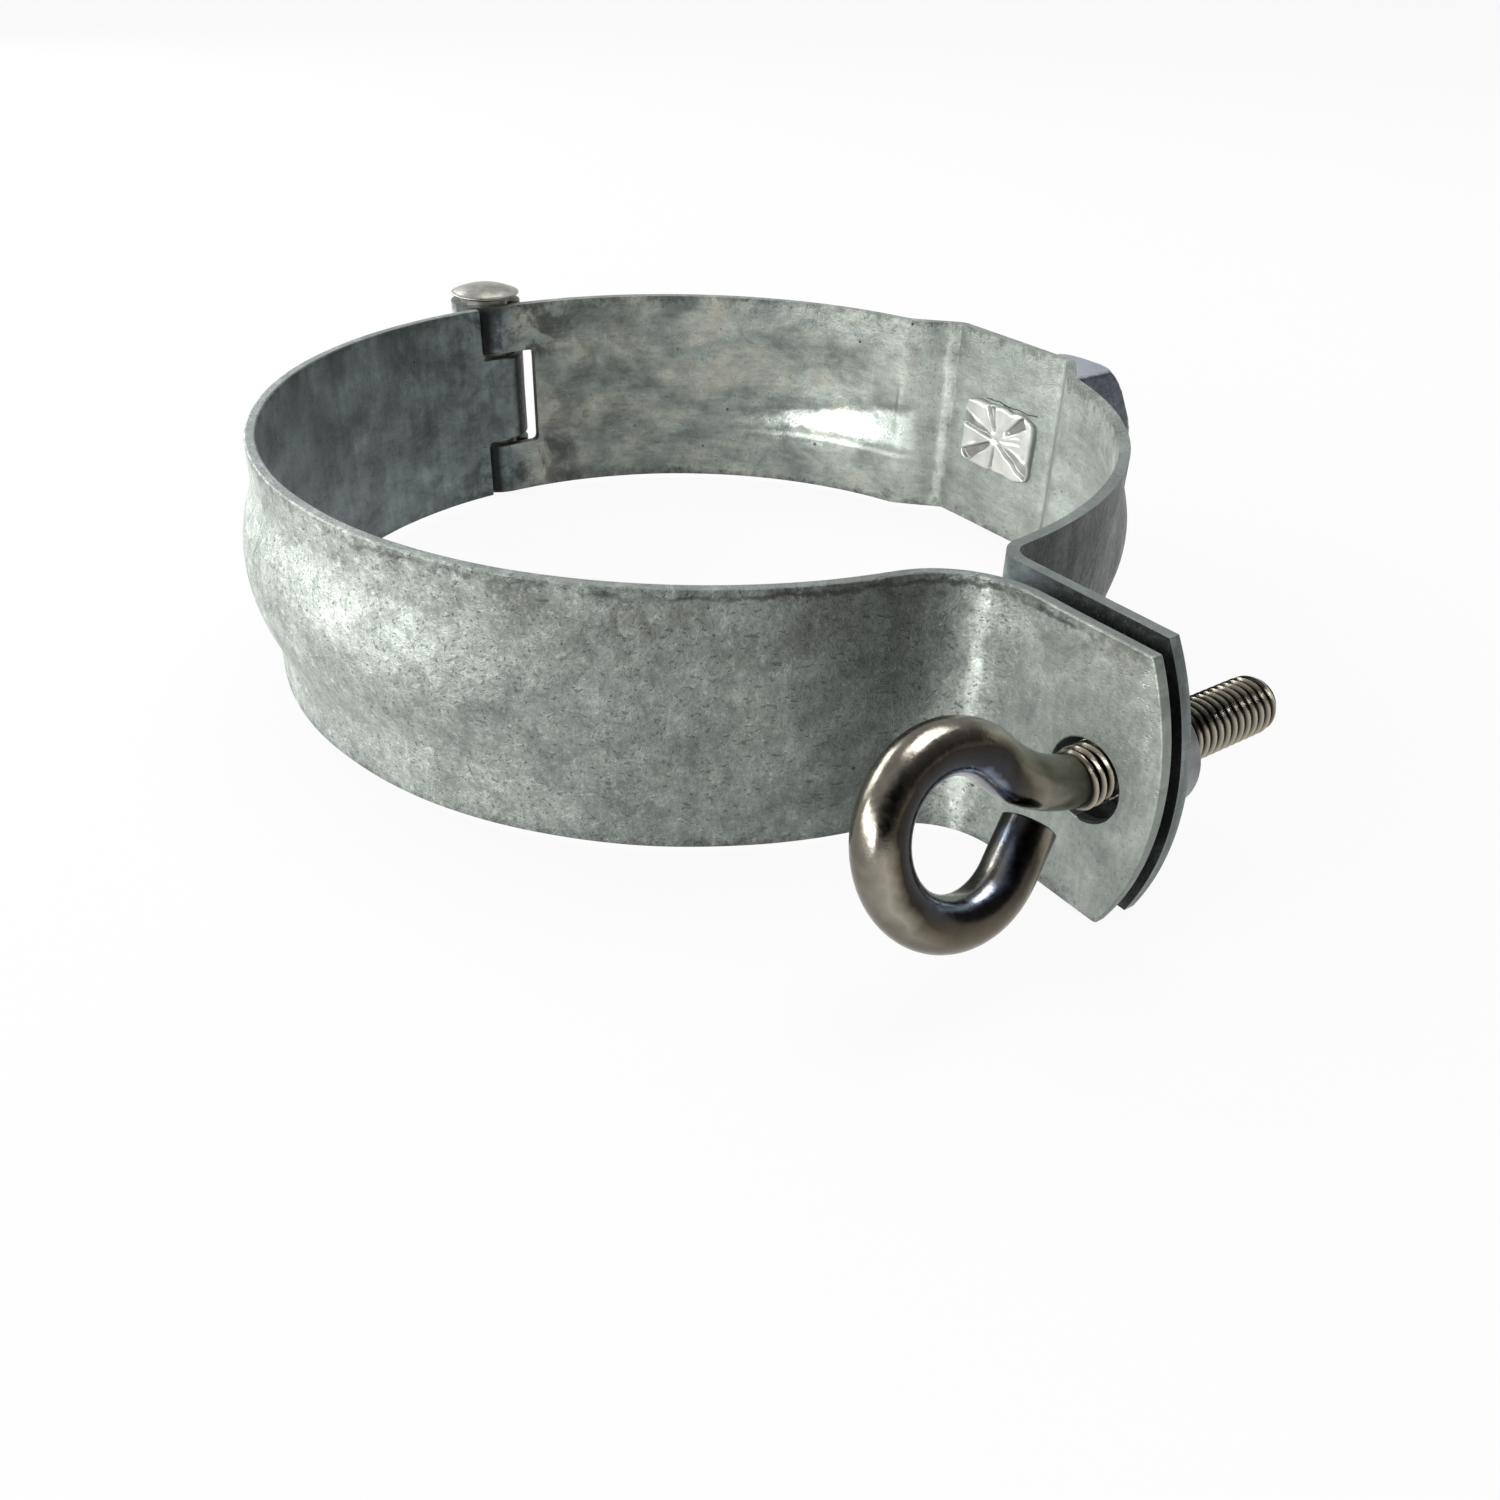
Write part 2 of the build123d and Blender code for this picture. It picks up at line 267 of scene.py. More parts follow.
def press_bead(bm, at, span):
    """Press one bead outwards, with its middle at an angle of the ring."""
    crest = PIPE_R + STRIP_T + BEAD_OUT
    ring = PIPE_R + STRIP_T
    beside = (crest**2 - ring**2) / (2 * (crest - ring * cos(radians(span))))
    barrel = (BEAD_HALF_H**2 + BEAD_OUT**2) / (2 * BEAD_OUT)
    for vert in bm.verts:
        plan = vert.co.xy
        off_ring = abs(plan.length - MID_R)
        turn = atan2(plan.y, plan.x) - radians(at)
        if off_ring > 0.02 or cos(turn) < cos(radians(span + 8)):
            continue
        bulge = crest - beside - barrel + sqrt(barrel**2 - (vert.co.z - BEAD_Z) ** 2)
        out = beside * cos(turn) + sqrt(max(bulge**2 - (beside * sin(turn)) ** 2, 0)) - ring
        fade = soft_max(out, BEAD_SOFT) - soft_max(-BEAD_OUT, BEAD_SOFT)
        vert.co.xy = plan * ((MID_R + fade) / plan.length)


press_bead(front_strip, 271.0, 45.0)

# %% [markdown]
# ## The rear half
# It starts at the rear ear, turns up sharply into the ring, steps out at two creases to a flat
# seat for the boss, and goes on round to the hinge. There two tabs stand above and below the
# tongue of the front half and are rolled outwards the other way round the same rivet.

# %% Rear half, drawn along its middle
REAR_TIP_X = 75.8
WINDOW = (TONGUE[0] - 1.0, TONGUE[1] + 0.8)
SEAT_MID_Y = 53.0 + STRIP_T / 2
SEAT_HALF = 10.6
SEAT_ANGLE = 18.5
CREASE_R = 1.4
ROOT_R = 3.0

rear_bend_centre = (sqrt((MID_R + 3) ** 2 - (EAR_MID_Y + 3) ** 2), EAR_MID_Y + 3)
rear_bend_at = atan2(rear_bend_centre[1], rear_bend_centre[0]) * 180 / pi
rear_cut_back = ring_degrees(4.9)

# The slope from the ring out to the seat, and the arcs at its two ends
foot = Vector((cos(radians(90 - SEAT_ANGLE)), sin(radians(90 - SEAT_ANGLE)))) * MID_R
crease = Vector((SEAT_HALF, SEAT_MID_Y))
slope = (crease - foot).normalized()
outward = Vector((slope.y, -slope.x))
root_off = outward.dot(foot) + ROOT_R
root_along = sqrt((MID_R + ROOT_R) ** 2 - root_off**2)
root_centre = outward * root_off + slope * root_along
root_at = atan2(root_centre.y, root_centre.x) * 180 / pi
slope_turn = 180 - atan2(slope.y, slope.x) * 180 / pi
root_turn = slope_turn - (90 - root_at)
crease_back = CREASE_R * tan(radians(slope_turn) / 2)
slope_run = slope.dot(crease) - root_along - crease_back
crease_centre = (SEAT_HALF - crease_back, SEAT_MID_Y - CREASE_R)

bm = bmesh.new()
end = cut_end(bm, REAR_TIP_X, EAR_MID_Y, spaced([-HALF_W, *WINDOW, HALF_W], CELL))
end = run(bm, end, (-1, 0, 0), REAR_TIP_X - rear_bend_centre[0], 18)
end = bend(bm, end, rear_bend_centre, rear_bend_at - 90, 7)
end = bend(bm, end, (0, 0), root_at - rear_bend_at, 47)
end = bend(bm, end, root_centre, -root_turn, 3)
end = run(bm, end, (*slope, 0), slope_run, 6)
end = bend(bm, end, crease_centre, slope_turn, 4)
end = run(bm, end, (-1, 0, 0), 2 * (SEAT_HALF - crease_back), 16)
end = bend(bm, end, (-crease_centre[0], crease_centre[1]), slope_turn, 4)
end = run(bm, end, (slope.x, -slope.y, 0), slope_run, 6)
end = bend(bm, end, (-root_centre.x, root_centre.y), -root_turn, 3)
end = bend(bm, end, (0, 0), HINGE_AT - rear_cut_back - (180 - root_at), 48)
for tab in (between(end, -HALF_W, WINDOW[0]), between(end, WINDOW[1], HALF_W)):
    tab = bend(bm, tab, (0, 0), rear_cut_back, 4)
    bend(bm, tab, HINGE, -KNUCKLE_ROLL, 34)
rear_strip = bm

rear_reach = curve_through(71.4, REAR_TIP_X, 73.2)
shear_ear(rear_strip, rear_bend_centre[0], REAR_TIP_X, 1, rear_reach)
drill_ear(rear_strip, 1, 0.0)
for at in (125.0, 55.0):
    press_bead(rear_strip, at, 18.5)
print("rear strip:", len(bm.faces), "cells, slope of", round(slope_run, 2), "mm")

# %% [markdown]
# ## From a drawing to sheet metal
# Galvanised strip is never quite flat, and that shows in its soft, broken highlights. So the
# points first move in and out by a few hundredths of a millimetre, with smooth noise that is
# the same at each run. Then the surface is subdivided, Solidify gives it the strip's thickness
# to both sides, and a small Bevel rounds the sheared edges. The cut faces take a finish of
# their own, because a sheared edge has lost most of its zinc.

# %% Sheet metal
parts = {}


def finished(bm, name, body, node, sharp=38):
    """Turn a drawing in millimetres into a part in metres that rides on its body."""
    bmesh.ops.scale(bm, vec=(MM, MM, MM), verts=bm.verts)
    for face in bm.faces:
        face.smooth = True
    for edge in bm.edges:
        edge.smooth = len(edge.link_faces) != 2 or edge.calc_face_angle() < radians(sharp)
    mesh = bpy.data.meshes.new(name)
    bm.to_mesh(mesh)
    bm.free()
    part = bpy.data.objects.new(name, mesh)
    bpy.context.scene.collection.objects.link(part)
    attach(part, body)
    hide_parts(node)
    parts[name] = part
    return part


def wavy(bm, depth, size):
    """Move points along their normals by smooth noise, a size apart."""
    bm.normal_update()
    for vert in bm.verts:
        vert.co += vert.normal * depth * noise.noise(vert.co / size)


def as_sheet(bm, name, body, node):
    """Strip with its thickness and broken edges."""
    wavy(bm, 0.07, 9.0)
    wavy(bm, 0.02, 2.5)
    part = finished(bm, name, body, node)
    finer = part.modifiers.new("finer cells", "SUBSURF")
    finer.levels = finer.render_levels = 1
    finer.boundary_smooth = "PRESERVE_CORNERS"
    wall = part.modifiers.new("strip thickness", "SOLIDIFY")
    wall.thickness = STRIP_T * MM
    wall.offset = 0
    wall.use_even_offset = True
    wall.material_offset_rim = 1
    edge = part.modifiers.new("sheared edge", "BEVEL")
    edge.width = 0.24 * MM
    edge.segments = 2
    edge.limit_method = "ANGLE"
    edge.angle_limit = radians(50)
    edge.harden_normals = True
    return part


for strip_drawing in (front_strip, rear_strip):
    bmesh.ops.recalc_face_normals(strip_drawing, faces=strip_drawing.faces)
front_band = as_sheet(front_strip, "front_band", "front", "front_half")
rear_band = as_sheet(rear_strip, "rear_band", "rear", "rear_half")

# %% [markdown]
# ## Turned parts
# A rivet, a nut and the thread on a bolt are all made on a lathe, and spin is the lathe: a
# profile of a few points is turned about an axis. The profile is a list of radius and height,
# and parts are turned about Z and laid into place afterwards.

# %% Lathe


def turned(profile, steps):
    """Solid turned from a profile of (radius, height) pairs about Z."""
    bm = bmesh.new()
    verts = [bm.verts.new((radius, 0, height)) for radius, height in profile]
    edges = [bm.edges.new(pair) for pair in zip(verts, verts[1:])]
    bmesh.ops.spin(
        bm, geom=verts + edges, axis=(0, 0, 1), angle=2 * pi, steps=steps, use_merge=True
    )
    bmesh.ops.remove_doubles(bm, verts=bm.verts, dist=0.0005)
    bmesh.ops.recalc_face_normals(bm, faces=bm.faces)
    return bm


def arc(centre, radius, start, stop, steps):
    """Points of an arc in a profile, with the angles in degrees from the radius axis."""
    angles = [radians(start + (stop - start) * step / steps) for step in range(steps + 1)]
    return [(centre[0] + radius * cos(a), centre[1] + radius * sin(a)) for a in angles]


# %% [markdown]
# ## The rivet of the hinge
# It has a low domed head with a thin sharp rim, stands a little proud of the strip, and is
# hammered over below. The dome is an arc from the axis to the rim.

# %% Rivet
HEAD_R = 4.9
HEAD_H = 1.5
TAIL_R = 4.4
TAIL_H = 0.9
HEAD_SEAT = HALF_W + 0.8


def dome_profile(radius, height, seat, steps):
    """Arc of a low dome from the axis down to its rim."""
    sphere = (radius**2 + height**2) / (2 * height)
    rise = atan2(sphere - height, radius) * 180 / pi
    return arc((0, seat + height - sphere), sphere, 90, rise, steps)


head = dome_profile(HEAD_R - 0.08, HEAD_H - 0.42, HEAD_SEAT + 0.42, 12)
head += arc((HEAD_R - 0.14, HEAD_SEAT + 0.3), 0.14, 60, -60, 4)
head += [(HEAD_R - 0.5, HEAD_SEAT), (PIN_R + 0.25, HEAD_SEAT), (PIN_R, HEAD_SEAT - 0.25)]
tail = [(radius, -height) for radius, height in dome_profile(TAIL_R, TAIL_H, HALF_W, 8)]
shank = [(PIN_R, 0), (PIN_R, 0.2 - HALF_W), (TAIL_R - 0.3, -HALF_W)]
rivet_bm = turned(head + shank + tail[::-1], 64)
wavy(rivet_bm, 0.03, 2.2)
bmesh.ops.translate(rivet_bm, verts=rivet_bm.verts, vec=(*HINGE, 0))
rivet = finished(rivet_bm, "hinge_rivet", "rear", "hinge_pin")

# %% [markdown]
# ## Threads
# A rolled thread is one pitch of profile, turned and moved on at the same time: spin takes a
# step along the axis for each step round it. Neighbouring turns meet point on point and are
# welded. Then the blank is trued like on a lathe, where the tool may go no higher and no lower
# than two given radii at each height. That makes the run-out, the mouth and the rounded tip.

# %% Threads


def thread_bm(pitch, root, crest, low, high, steps):
    """Helical thread about Z between two heights, still with ragged ends."""
    flat = 0.10 * pitch
    shape = [
        (0, root), (flat, root + 0.01), (0.24 * pitch, root + 0.28 * (crest - root)),
        (0.40 * pitch, crest - 0.12 * (crest - root)), (0.5 * pitch, crest),
        (0.60 * pitch, crest - 0.12 * (crest - root)),
        (0.76 * pitch, root + 0.28 * (crest - root)), (pitch - flat, root + 0.01), (pitch, root),
    ]
    turns = int((high - low) / pitch) + 3
    bm = bmesh.new()
    verts = [bm.verts.new((radius, 0, low - 1.5 * pitch + height)) for height, radius in shape]
    edges = [bm.edges.new(pair) for pair in zip(verts, verts[1:])]
    bmesh.ops.spin(
        bm, geom=verts + edges, axis=(0, 0, 1), dvec=(0, 0, pitch / steps),
        angle=2 * pi * turns, steps=steps * turns,
    )
    bmesh.ops.remove_doubles(bm, verts=bm.verts, dist=0.002)
    return bm


def true_up(bm, limits):
    """Keep each point's distance from Z between the two radii for its height."""
    for vert in bm.verts:
        radius = hypot(vert.co.x, vert.co.y)
        low, high = limits(vert.co.z)
        wanted = min(max(radius, low), high)
        vert.co.x *= wanted / radius
        vert.co.y *= wanted / radius


def cut_square(bm, height, keep_above, cap):
    """Cut the blank square to its axis, and close the cut where it is a solid's end."""
    made = bmesh.ops.bisect_plane(
        bm, geom=bm.verts[:] + bm.edges[:] + bm.faces[:], plane_co=(0, 0, height),
        plane_no=(0, 0, 1), clear_inner=keep_above, clear_outer=not keep_above,
    )
    rim = [item for item in made["geom_cut"] if isinstance(item, bmesh.types.BMEdge)]
    if cap:
        bmesh.ops.edgeloop_fill(bm, edges=rim)
    return rim


# %% [markdown]
# ## The eye bolt
# A round rod is bent to an open eye, and its other end is rolled with a thread. The rod is
# drawn in the plane of the eye with the shank along X: the end of the rod is a circle that is
# pushed on and spun about the bends' centres. The thread is turned about its own axis and laid
# on the shank. At last the whole bolt is tipped into its place in the ears.

# %% Rod of the eye bolt
ROD_R = 2.55
EYE_Y = -18.5
EYE_DROP = 0.3
EYE_R = 7.6
NECK_R = 13.0
EYE_TILT = 22.5
EYE_END = 44.0
EYE_TAIL = 4.7
THREAD_START_Y = -4.4
THREAD_END_Y = 22.5

neck_rise = NECK_R + EYE_DROP
neck_x = sqrt((EYE_R + NECK_R) ** 2 - neck_rise**2)
neck_lean = atan2(neck_rise, neck_x) * 180 / pi

bm = bmesh.new()
upright = Matrix.Rotation(pi / 2, 4, "Y")
start = Matrix.Translation((THREAD_START_Y - EYE_Y + 5, 0, 0)) @ upright
made = bmesh.ops.create_circle(bm, segments=48, radius=ROD_R, matrix=start)
end = made["verts"] + list({edge for vert in made["verts"] for edge in vert.link_edges})
end = run(bm, end, (-1, 0, 0), THREAD_START_Y - EYE_Y + 5 - neck_x, 4)
end = bend(bm, end, (neck_x, NECK_R), neck_lean - 90, 14)
end = bend(bm, end, (0, -EYE_DROP), 360 - EYE_END - neck_lean, 72)
tail_way = Vector((sin(radians(EYE_END)), cos(radians(EYE_END)), 0))
end = run(bm, end, tail_way, EYE_TAIL, 8)
end_rim = [item for item in end if isinstance(item, bmesh.types.BMEdge)]
tail_face = bmesh.ops.edgeloop_fill(bm, edges=end_rim)["faces"]
bmesh.ops.inset_region(bm, faces=tail_face, thickness=0.22, depth=0.0)
bmesh.ops.inset_region(bm, faces=tail_face, thickness=0.5, depth=0.0)
for vert in {vert for edge in end_rim for vert in edge.verts}:
    vert.co -= tail_way * 0.16
bmesh.ops.recalc_face_normals(bm, faces=bm.faces)
rod_bm = bm
print("rod:", len(bm.faces), "cells, neck starts", round(neck_x, 2), "mm from the eye")

# %% Thread of the eye bolt, and the bolt in its place
BOLT_R = 3.0
thread_length = THREAD_END_Y - THREAD_START_Y


def bolt_limits(height):
    """Radii between which the bolt's thread is trued, from its run-out to its tip."""
    run_out = min(max(height / 0.5, 0), 1)
    low = 2.5 - 0.2 * run_out
    high = 2.62 + (BOLT_R - 2.62) * run_out
    to_tip = thread_length - height
    if to_tip < 2.2:
        tip = 0.8 + sqrt(max(2.2**2 - (2.2 - to_tip) ** 2, 0))
        low, high = min(low, tip), min(high, tip)
    return low, high


bolt_thread = thread_bm(1.0, 2.42, BOLT_R - 0.01, 0, thread_length, 40)
cut_square(bolt_thread, 0, True, True)
cut_square(bolt_thread, thread_length - 0.03, False, False)
true_up(bolt_thread, bolt_limits)
tip_rim = [edge for edge in bolt_thread.edges if edge.is_boundary]
bmesh.ops.edgeloop_fill(bolt_thread, edges=tip_rim)
bmesh.ops.recalc_face_normals(bolt_thread, faces=bolt_thread.faces)
shank_way = Matrix.Translation((THREAD_START_Y - EYE_Y, 0, 0)) @ upright
bmesh.ops.transform(bolt_thread, matrix=shank_way, verts=bolt_thread.verts)
thread_mesh = bpy.data.meshes.new("thread")
bolt_thread.to_mesh(thread_mesh)
bolt_thread.free()
rod_bm.from_mesh(thread_mesh)

tilt = radians(EYE_TILT)
placed = Matrix((
    (0, -sin(tilt), cos(tilt), EAR_HOLE_X),
    (1, 0, 0, EYE_Y),
    (0, cos(tilt), sin(tilt), 0),
    (0, 0, 0, 1),
))
bmesh.ops.transform(rod_bm, matrix=placed, verts=rod_bm.verts)
eye_bolt = finished(rod_bm, "eye_bolt_rod", "bolt", "eye_bolt")

# %% [markdown]
# ## The nut in the rear ear
# It is a small round nut with a shoulder, pressed into the ear from behind. Its thread shows
# only as a few turns inside the chamfered mouth, so a plain turned bore is enough.

# %% Ear nut
NUT_R = 5.75
NUT_H = 4.4
EAR_OUTER_Y = EAR_MID_Y + STRIP_T / 2
nut_profile = [
    (3.3, -STRIP_T + 0.02), (EAR_HOLE_R - 0.15, -STRIP_T + 0.02), (EAR_HOLE_R - 0.02, -STRIP_T + 0.15),
    (EAR_HOLE_R - 0.02, 0), (NUT_R - 0.15, 0), (NUT_R, 0.15), (NUT_R, NUT_H - 0.75),
    (NUT_R - 0.05, NUT_H - 0.62), (NUT_R - 0.62, NUT_H - 0.05), (NUT_R - 0.75, NUT_H),
    (3.65, NUT_H), (3.5, NUT_H - 0.06), (3.06, NUT_H - 0.5), (3.06, -STRIP_T + 0.3),
    (3.3, -STRIP_T + 0.02),
]
nut_bm = turned(nut_profile, 64)
lay_back = Matrix.Translation((EAR_HOLE_X, EAR_OUTER_Y, 0)) @ Matrix.Rotation(-pi / 2, 4, "X")
bmesh.ops.transform(nut_bm, matrix=lay_back, verts=nut_bm.verts)
nut = finished(nut_bm, "clinch_nut", "rear", "ear_nut")

# %% [markdown]
# ## The boss
# A hexagon bar is turned to a cone at its end, drilled and tapped, and its other end is a
# rectangular spigot that goes through the seat. The hexagon is extruded in thin layers, and
# the same truing that made the bolt's tip turns its corners off.

# %% Hexagon of the boss
BOSS_FLATS = 18.0
BOSS_LENGTH = 16.0
BOSS_FACE_R = 8.5
BOSS_ROUND = 2.4
TAP_R = 5.0
TAP_ROOT_R = 4.19
corner_r = BOSS_FLATS / sqrt(3)


def boss_limits(height):
    """Outer radius of the boss, which is turned to a cone at its free end."""
    left = BOSS_LENGTH - height
    share = min(left / BOSS_ROUND, 1)
    cone = BOSS_FACE_R + (corner_r - BOSS_FACE_R) * sqrt(share * (2 - share))
    return 0, cone


bm = bmesh.new()
made = bmesh.ops.create_circle(
    bm, segments=6, radius=corner_r, matrix=Matrix.Rotation(pi / 6, 4, "Z")
)
hexagon = [edge for edge in bm.edges]
bmesh.ops.bevel(bm, geom=made["verts"], offset=0.35, segments=3, profile=0.5,
                affect="VERTICES", material=-1)
sides = [edge for edge in bm.edges if edge.calc_length() > 2]
bmesh.ops.subdivide_edges(bm, edges=sides, cuts=23)
end = bm.verts[:] + bm.edges[:]
layers = [13.6] + [0.2] * 12
for layer in layers:
    end = run(bm, end, (0, 0, 1), layer, 1)
true_up(bm, boss_limits)
rim = [item for item in end if isinstance(item, bmesh.types.BMEdge)]
mouth = bmesh.ops.create_circle(
    bm, segments=len(rim), radius=TAP_R, matrix=Matrix.Translation((0, 0, BOSS_LENGTH))
)
mouth_rim = list({edge for vert in mouth["verts"] for edge in vert.link_edges})
bmesh.ops.bridge_loops(bm, edges=rim + mouth_rim)
print("boss layers reach", round(sum(layers), 2), "of", BOSS_LENGTH)
base = [edge for edge in bm.edges if edge.is_boundary and edge.verts[0].co.z < 0.01]
bmesh.ops.edgeloop_fill(bm, edges=base)
bmesh.ops.recalc_face_normals(bm, faces=bm.faces)
boss_bm = bm

# %% Tapped hole of the boss
TAP_DEPTH = 14.0


def tap_limits(height):
    """Radii of the tapped hole below its countersunk mouth, with the axis at the hole's mouth."""
    sunk = min(max((height + 0.85) / 0.85, 0), 1)
    low = TAP_ROOT_R + (TAP_R - TAP_ROOT_R) * sunk
    return low, TAP_R


hole = thread_bm(1.5, TAP_R - 0.02, TAP_ROOT_R, -TAP_DEPTH, 0, 40)
cut_square(hole, 0, False, False)
floor_rim = cut_square(hole, -TAP_DEPTH, True, False)
true_up(hole, tap_limits)
bmesh.ops.edgeloop_fill(hole, edges=[edge for edge in floor_rim if edge.is_valid])
for face in hole.faces:
    if face.normal.z > 0.99:
        continue
bmesh.ops.recalc_face_normals(hole, faces=hole.faces)
bmesh.ops.reverse_faces(hole, faces=hole.faces)
bmesh.ops.translate(hole, verts=hole.verts, vec=(0, 0, BOSS_LENGTH))
hole_mesh = bpy.data.meshes.new("tapped hole")
hole.to_mesh(hole_mesh)
hole.free()
boss_bm.from_mesh(hole_mesh)

boss_back = Matrix.Rotation(-pi / 2, 4, "X")
bmesh.ops.transform(boss_bm, matrix=boss_back, verts=boss_bm.verts)
SEAT_INNER_Y = 53.0
bmesh.ops.translate(boss_bm, verts=boss_bm.verts, vec=(0, SEAT_INNER_Y + STRIP_T, 0))
boss = finished(boss_bm, "staked_boss", "rear", "mounting_boss")

# %% [markdown]
# ## The staked end
# Inside the ring the spigot's end is squashed over the seat by a punch. Its blades leave
# grooves that run out from the middle and open towards the edge, and the metal between them
# swells to pillows. The shape starts as a flat grid. Its outline is drawn in to a rounded
# rectangle, and each point gets its height from the edge, the grooves and their lips.

# %% Staked star
STAKE_W = 14.0
STAKE_H = 9.8
STAKE_OUT = 0.92
STAKE_CORNER = 1.6
# Each groove: its direction in degrees, where it starts and ends, half its width at both, depth
GROOVES = [
    (166, 0.2, 7.4, 0.15, 1.05, 0.55), (336, 0.2, 7.9, 0.15, 1.10, 0.55),
    (107, 1.0, 5.6, 0.12, 0.70, 0.55), (38, 2.2, 6.8, 0.30, 0.90, 0.60),
    (214, 1.0, 7.2, 0.18, 1.05, 0.65), (266, 0.8, 5.4, 0.12, 0.50, 0.55),
    (11, 1.2, 5.0, 0.10, 0.25, 0.12),
]


def groove_depth(x, y):
    """How deep the punch has gone at a place; its lips stand up and count as negative."""
    deepest = 0.0
    lip = 0.0
    for angle, start, stop, half_start, half_stop, depth in GROOVES:
        a = radians(angle)
        along = x * cos(a) + y * sin(a)
        across = abs(y * cos(a) - x * sin(a))
        share = (along - start) / (stop - start)
        if share < 0 or share > 1:
            continue
        half = half_start + (half_stop - half_start) * share
        ends = min(share / 0.12, (1 - share) / 0.06, 1)
        wall = min(max((half - across) / 0.32 + 0.5, 0), 1)
        wall = wall * wall * (3 - 2 * wall)
        deepest = max(deepest, depth * wall * ends)
        lip = max(lip, 0.10 * ends * max(1 - abs(across - half - 0.28) / 0.3, 0))
    dimple = 0.35 * max(1 - hypot(x, y) / 0.7, 0)
    return max(deepest, dimple) - lip


bm = bmesh.new()
bmesh.ops.create_grid(bm, x_segments=112, y_segments=80, size=0.5)
for vert in bm.verts:
    u, v = vert.co.x * 2, vert.co.y * 2
    # Draw square corners in to round ones: the further into a corner, the more
    tuck = STAKE_CORNER * (1 - 1 / sqrt(2)) * 1.3 * abs(u * v) ** 6
    x = u * STAKE_W / 2 - (tuck if u > 0 else -tuck)
    y = v * STAKE_H / 2 - (tuck if v > 0 else -tuck)
    from_edge = min((1 - abs(u)) * STAKE_W / 2, (1 - abs(v)) * STAKE_H / 2)
    fall = min(from_edge / 0.6, 1)
    height = STAKE_OUT * sqrt(1 - (1 - fall) ** 2)
    lump = 0.26 * noise.noise(Vector((x, y, 3.1)) * 0.5)
    ragged = 0.25 * noise.noise(Vector((x, y, 8.0)) * 0.6)
    vert.co = (x + ragged * u * u, y + ragged * v * v, height + (lump - groove_depth(x, y)) * fall)
stake_face = Matrix.Translation((0, SEAT_INNER_Y, 0)) @ Matrix.Rotation(pi / 2, 4, "X")
bmesh.ops.transform(bm, matrix=stake_face, verts=bm.verts)
star = finished(bm, "staked_star", "rear", "mounting_boss", 80)

# %% [markdown]
# ## Finishes
# Zinc from a hot dip is a patchwork: pale grey-green with darker clouds, crystals a few
# millimetres wide, fine scratches and dark pits. All of that is noise on the object's own
# coordinates, in millimetres, so it keeps its size and stays on the metal when the clamp opens.

# %% Small helpers for finishes


def finish(name):
    """Empty finish with its shader, and a short way to add and join nodes."""
    material = bpy.data.materials.new(name)
    material.use_nodes = True
    nodes, links = material.node_tree.nodes, material.node_tree.links
    shader = nodes["Principled BSDF"]

    def add(kind, inputs=None, **settings):
        node = nodes.new(kind)
        for key, value in settings.items():
            setattr(node, key, value)
        for key, value in (inputs or {}).items():
            if isinstance(value, bpy.types.NodeSocket):
                links.new(value, node.inputs[key])
            else:
                node.inputs[key].default_value = value
        return node

    return material, shader, add, links


def material_output(material):
    """The node that a finish ends in."""
    return material.node_tree.nodes["Material Output"]


def in_millimetres(add, scale=(1, 1, 1), turn=(0, 0, 0)):
    """Object coordinates in millimetres, stretched or turned where a pattern asks for it."""
    place = add("ShaderNodeTexCoord")
    size = [1000 * part for part in scale]
    mapping = add("ShaderNodeMapping", {0: place.outputs["Object"], "Scale": size, "Rotation": turn})
    return mapping.outputs[0]


def cloud(add, where, size, detail=4.0, rough=0.55, distort=0.0):
    """Smooth noise with lumps of about one size, in millimetres."""
    node = add("ShaderNodeTexNoise", {
        "Vector": where, "Scale": 1 / size, "Detail": detail, "Roughness": rough,
        "Distortion": distort,
    })
    return node.outputs["Fac"]


def ramp(add, value, stops):
    """Colour ramp with stops of (position, colour)."""
    node = add("ShaderNodeValToRGB", {0: value})
    elements = node.color_ramp.elements
    while len(elements) < len(stops):
        elements.new(0.5)
    for element, (position, colour) in zip(elements, stops):
        element.position = position
        element.color = (*colour, 1) if len(colour) == 3 else (colour[0],) * 3 + (1,)
    return node.outputs["Color"]


def remap(add, value, low, high, to_low=0.0, to_high=1.0):
    """Stretch a range of a value to another one, and stop at its ends."""
    node = add("ShaderNodeMapRange", {
        0: value, "From Min": low, "From Max": high, "To Min": to_low, "To Max": to_high,
    })
    return node.outputs[0]


def mixed(add, share, first, second, blend="MIX"):
    """Mix two colours by a share."""
    node = add("ShaderNodeMix", data_type="RGBA", blend_type=blend)
    links = node.id_data.links
    for socket, value in ((0, share), (6, first), (7, second)):
        if isinstance(value, bpy.types.NodeSocket):
            links.new(value, node.inputs[socket])
        elif socket == 0:
            node.inputs[0].default_value = value
        else:
            node.inputs[socket].default_value = (*value, 1)
    return node.outputs[2]


def maths(add, operation, first, second=0.5):
    """One step of arithmetic."""
    return add("ShaderNodeMath", {0: first, 1: second}, operation=operation).outputs[0]


# %% Galvanised zinc
X_FROM, X_TO = -60.0, 77.0


def along_x(add, x, stops):
    """Ramp over the clamp's length, with its stops given in millimetres of X."""
    share = remap(add, x, X_FROM, X_TO)
    # A ramp's colours stop at 1, so the tones are scaled down for it and up again after it
    top = max(tone for _, tone in stops)
    places = [((at - X_FROM) / (X_TO - X_FROM), (tone / top,)) for at, tone in stops]
    return maths(add, "MULTIPLY", ramp(add, share, places), top)


def grey(add, value):
    """A value as a grey colour."""
    return add("ShaderNodeCombineColor", {0: value, 1: value, 2: value}).outputs[0]


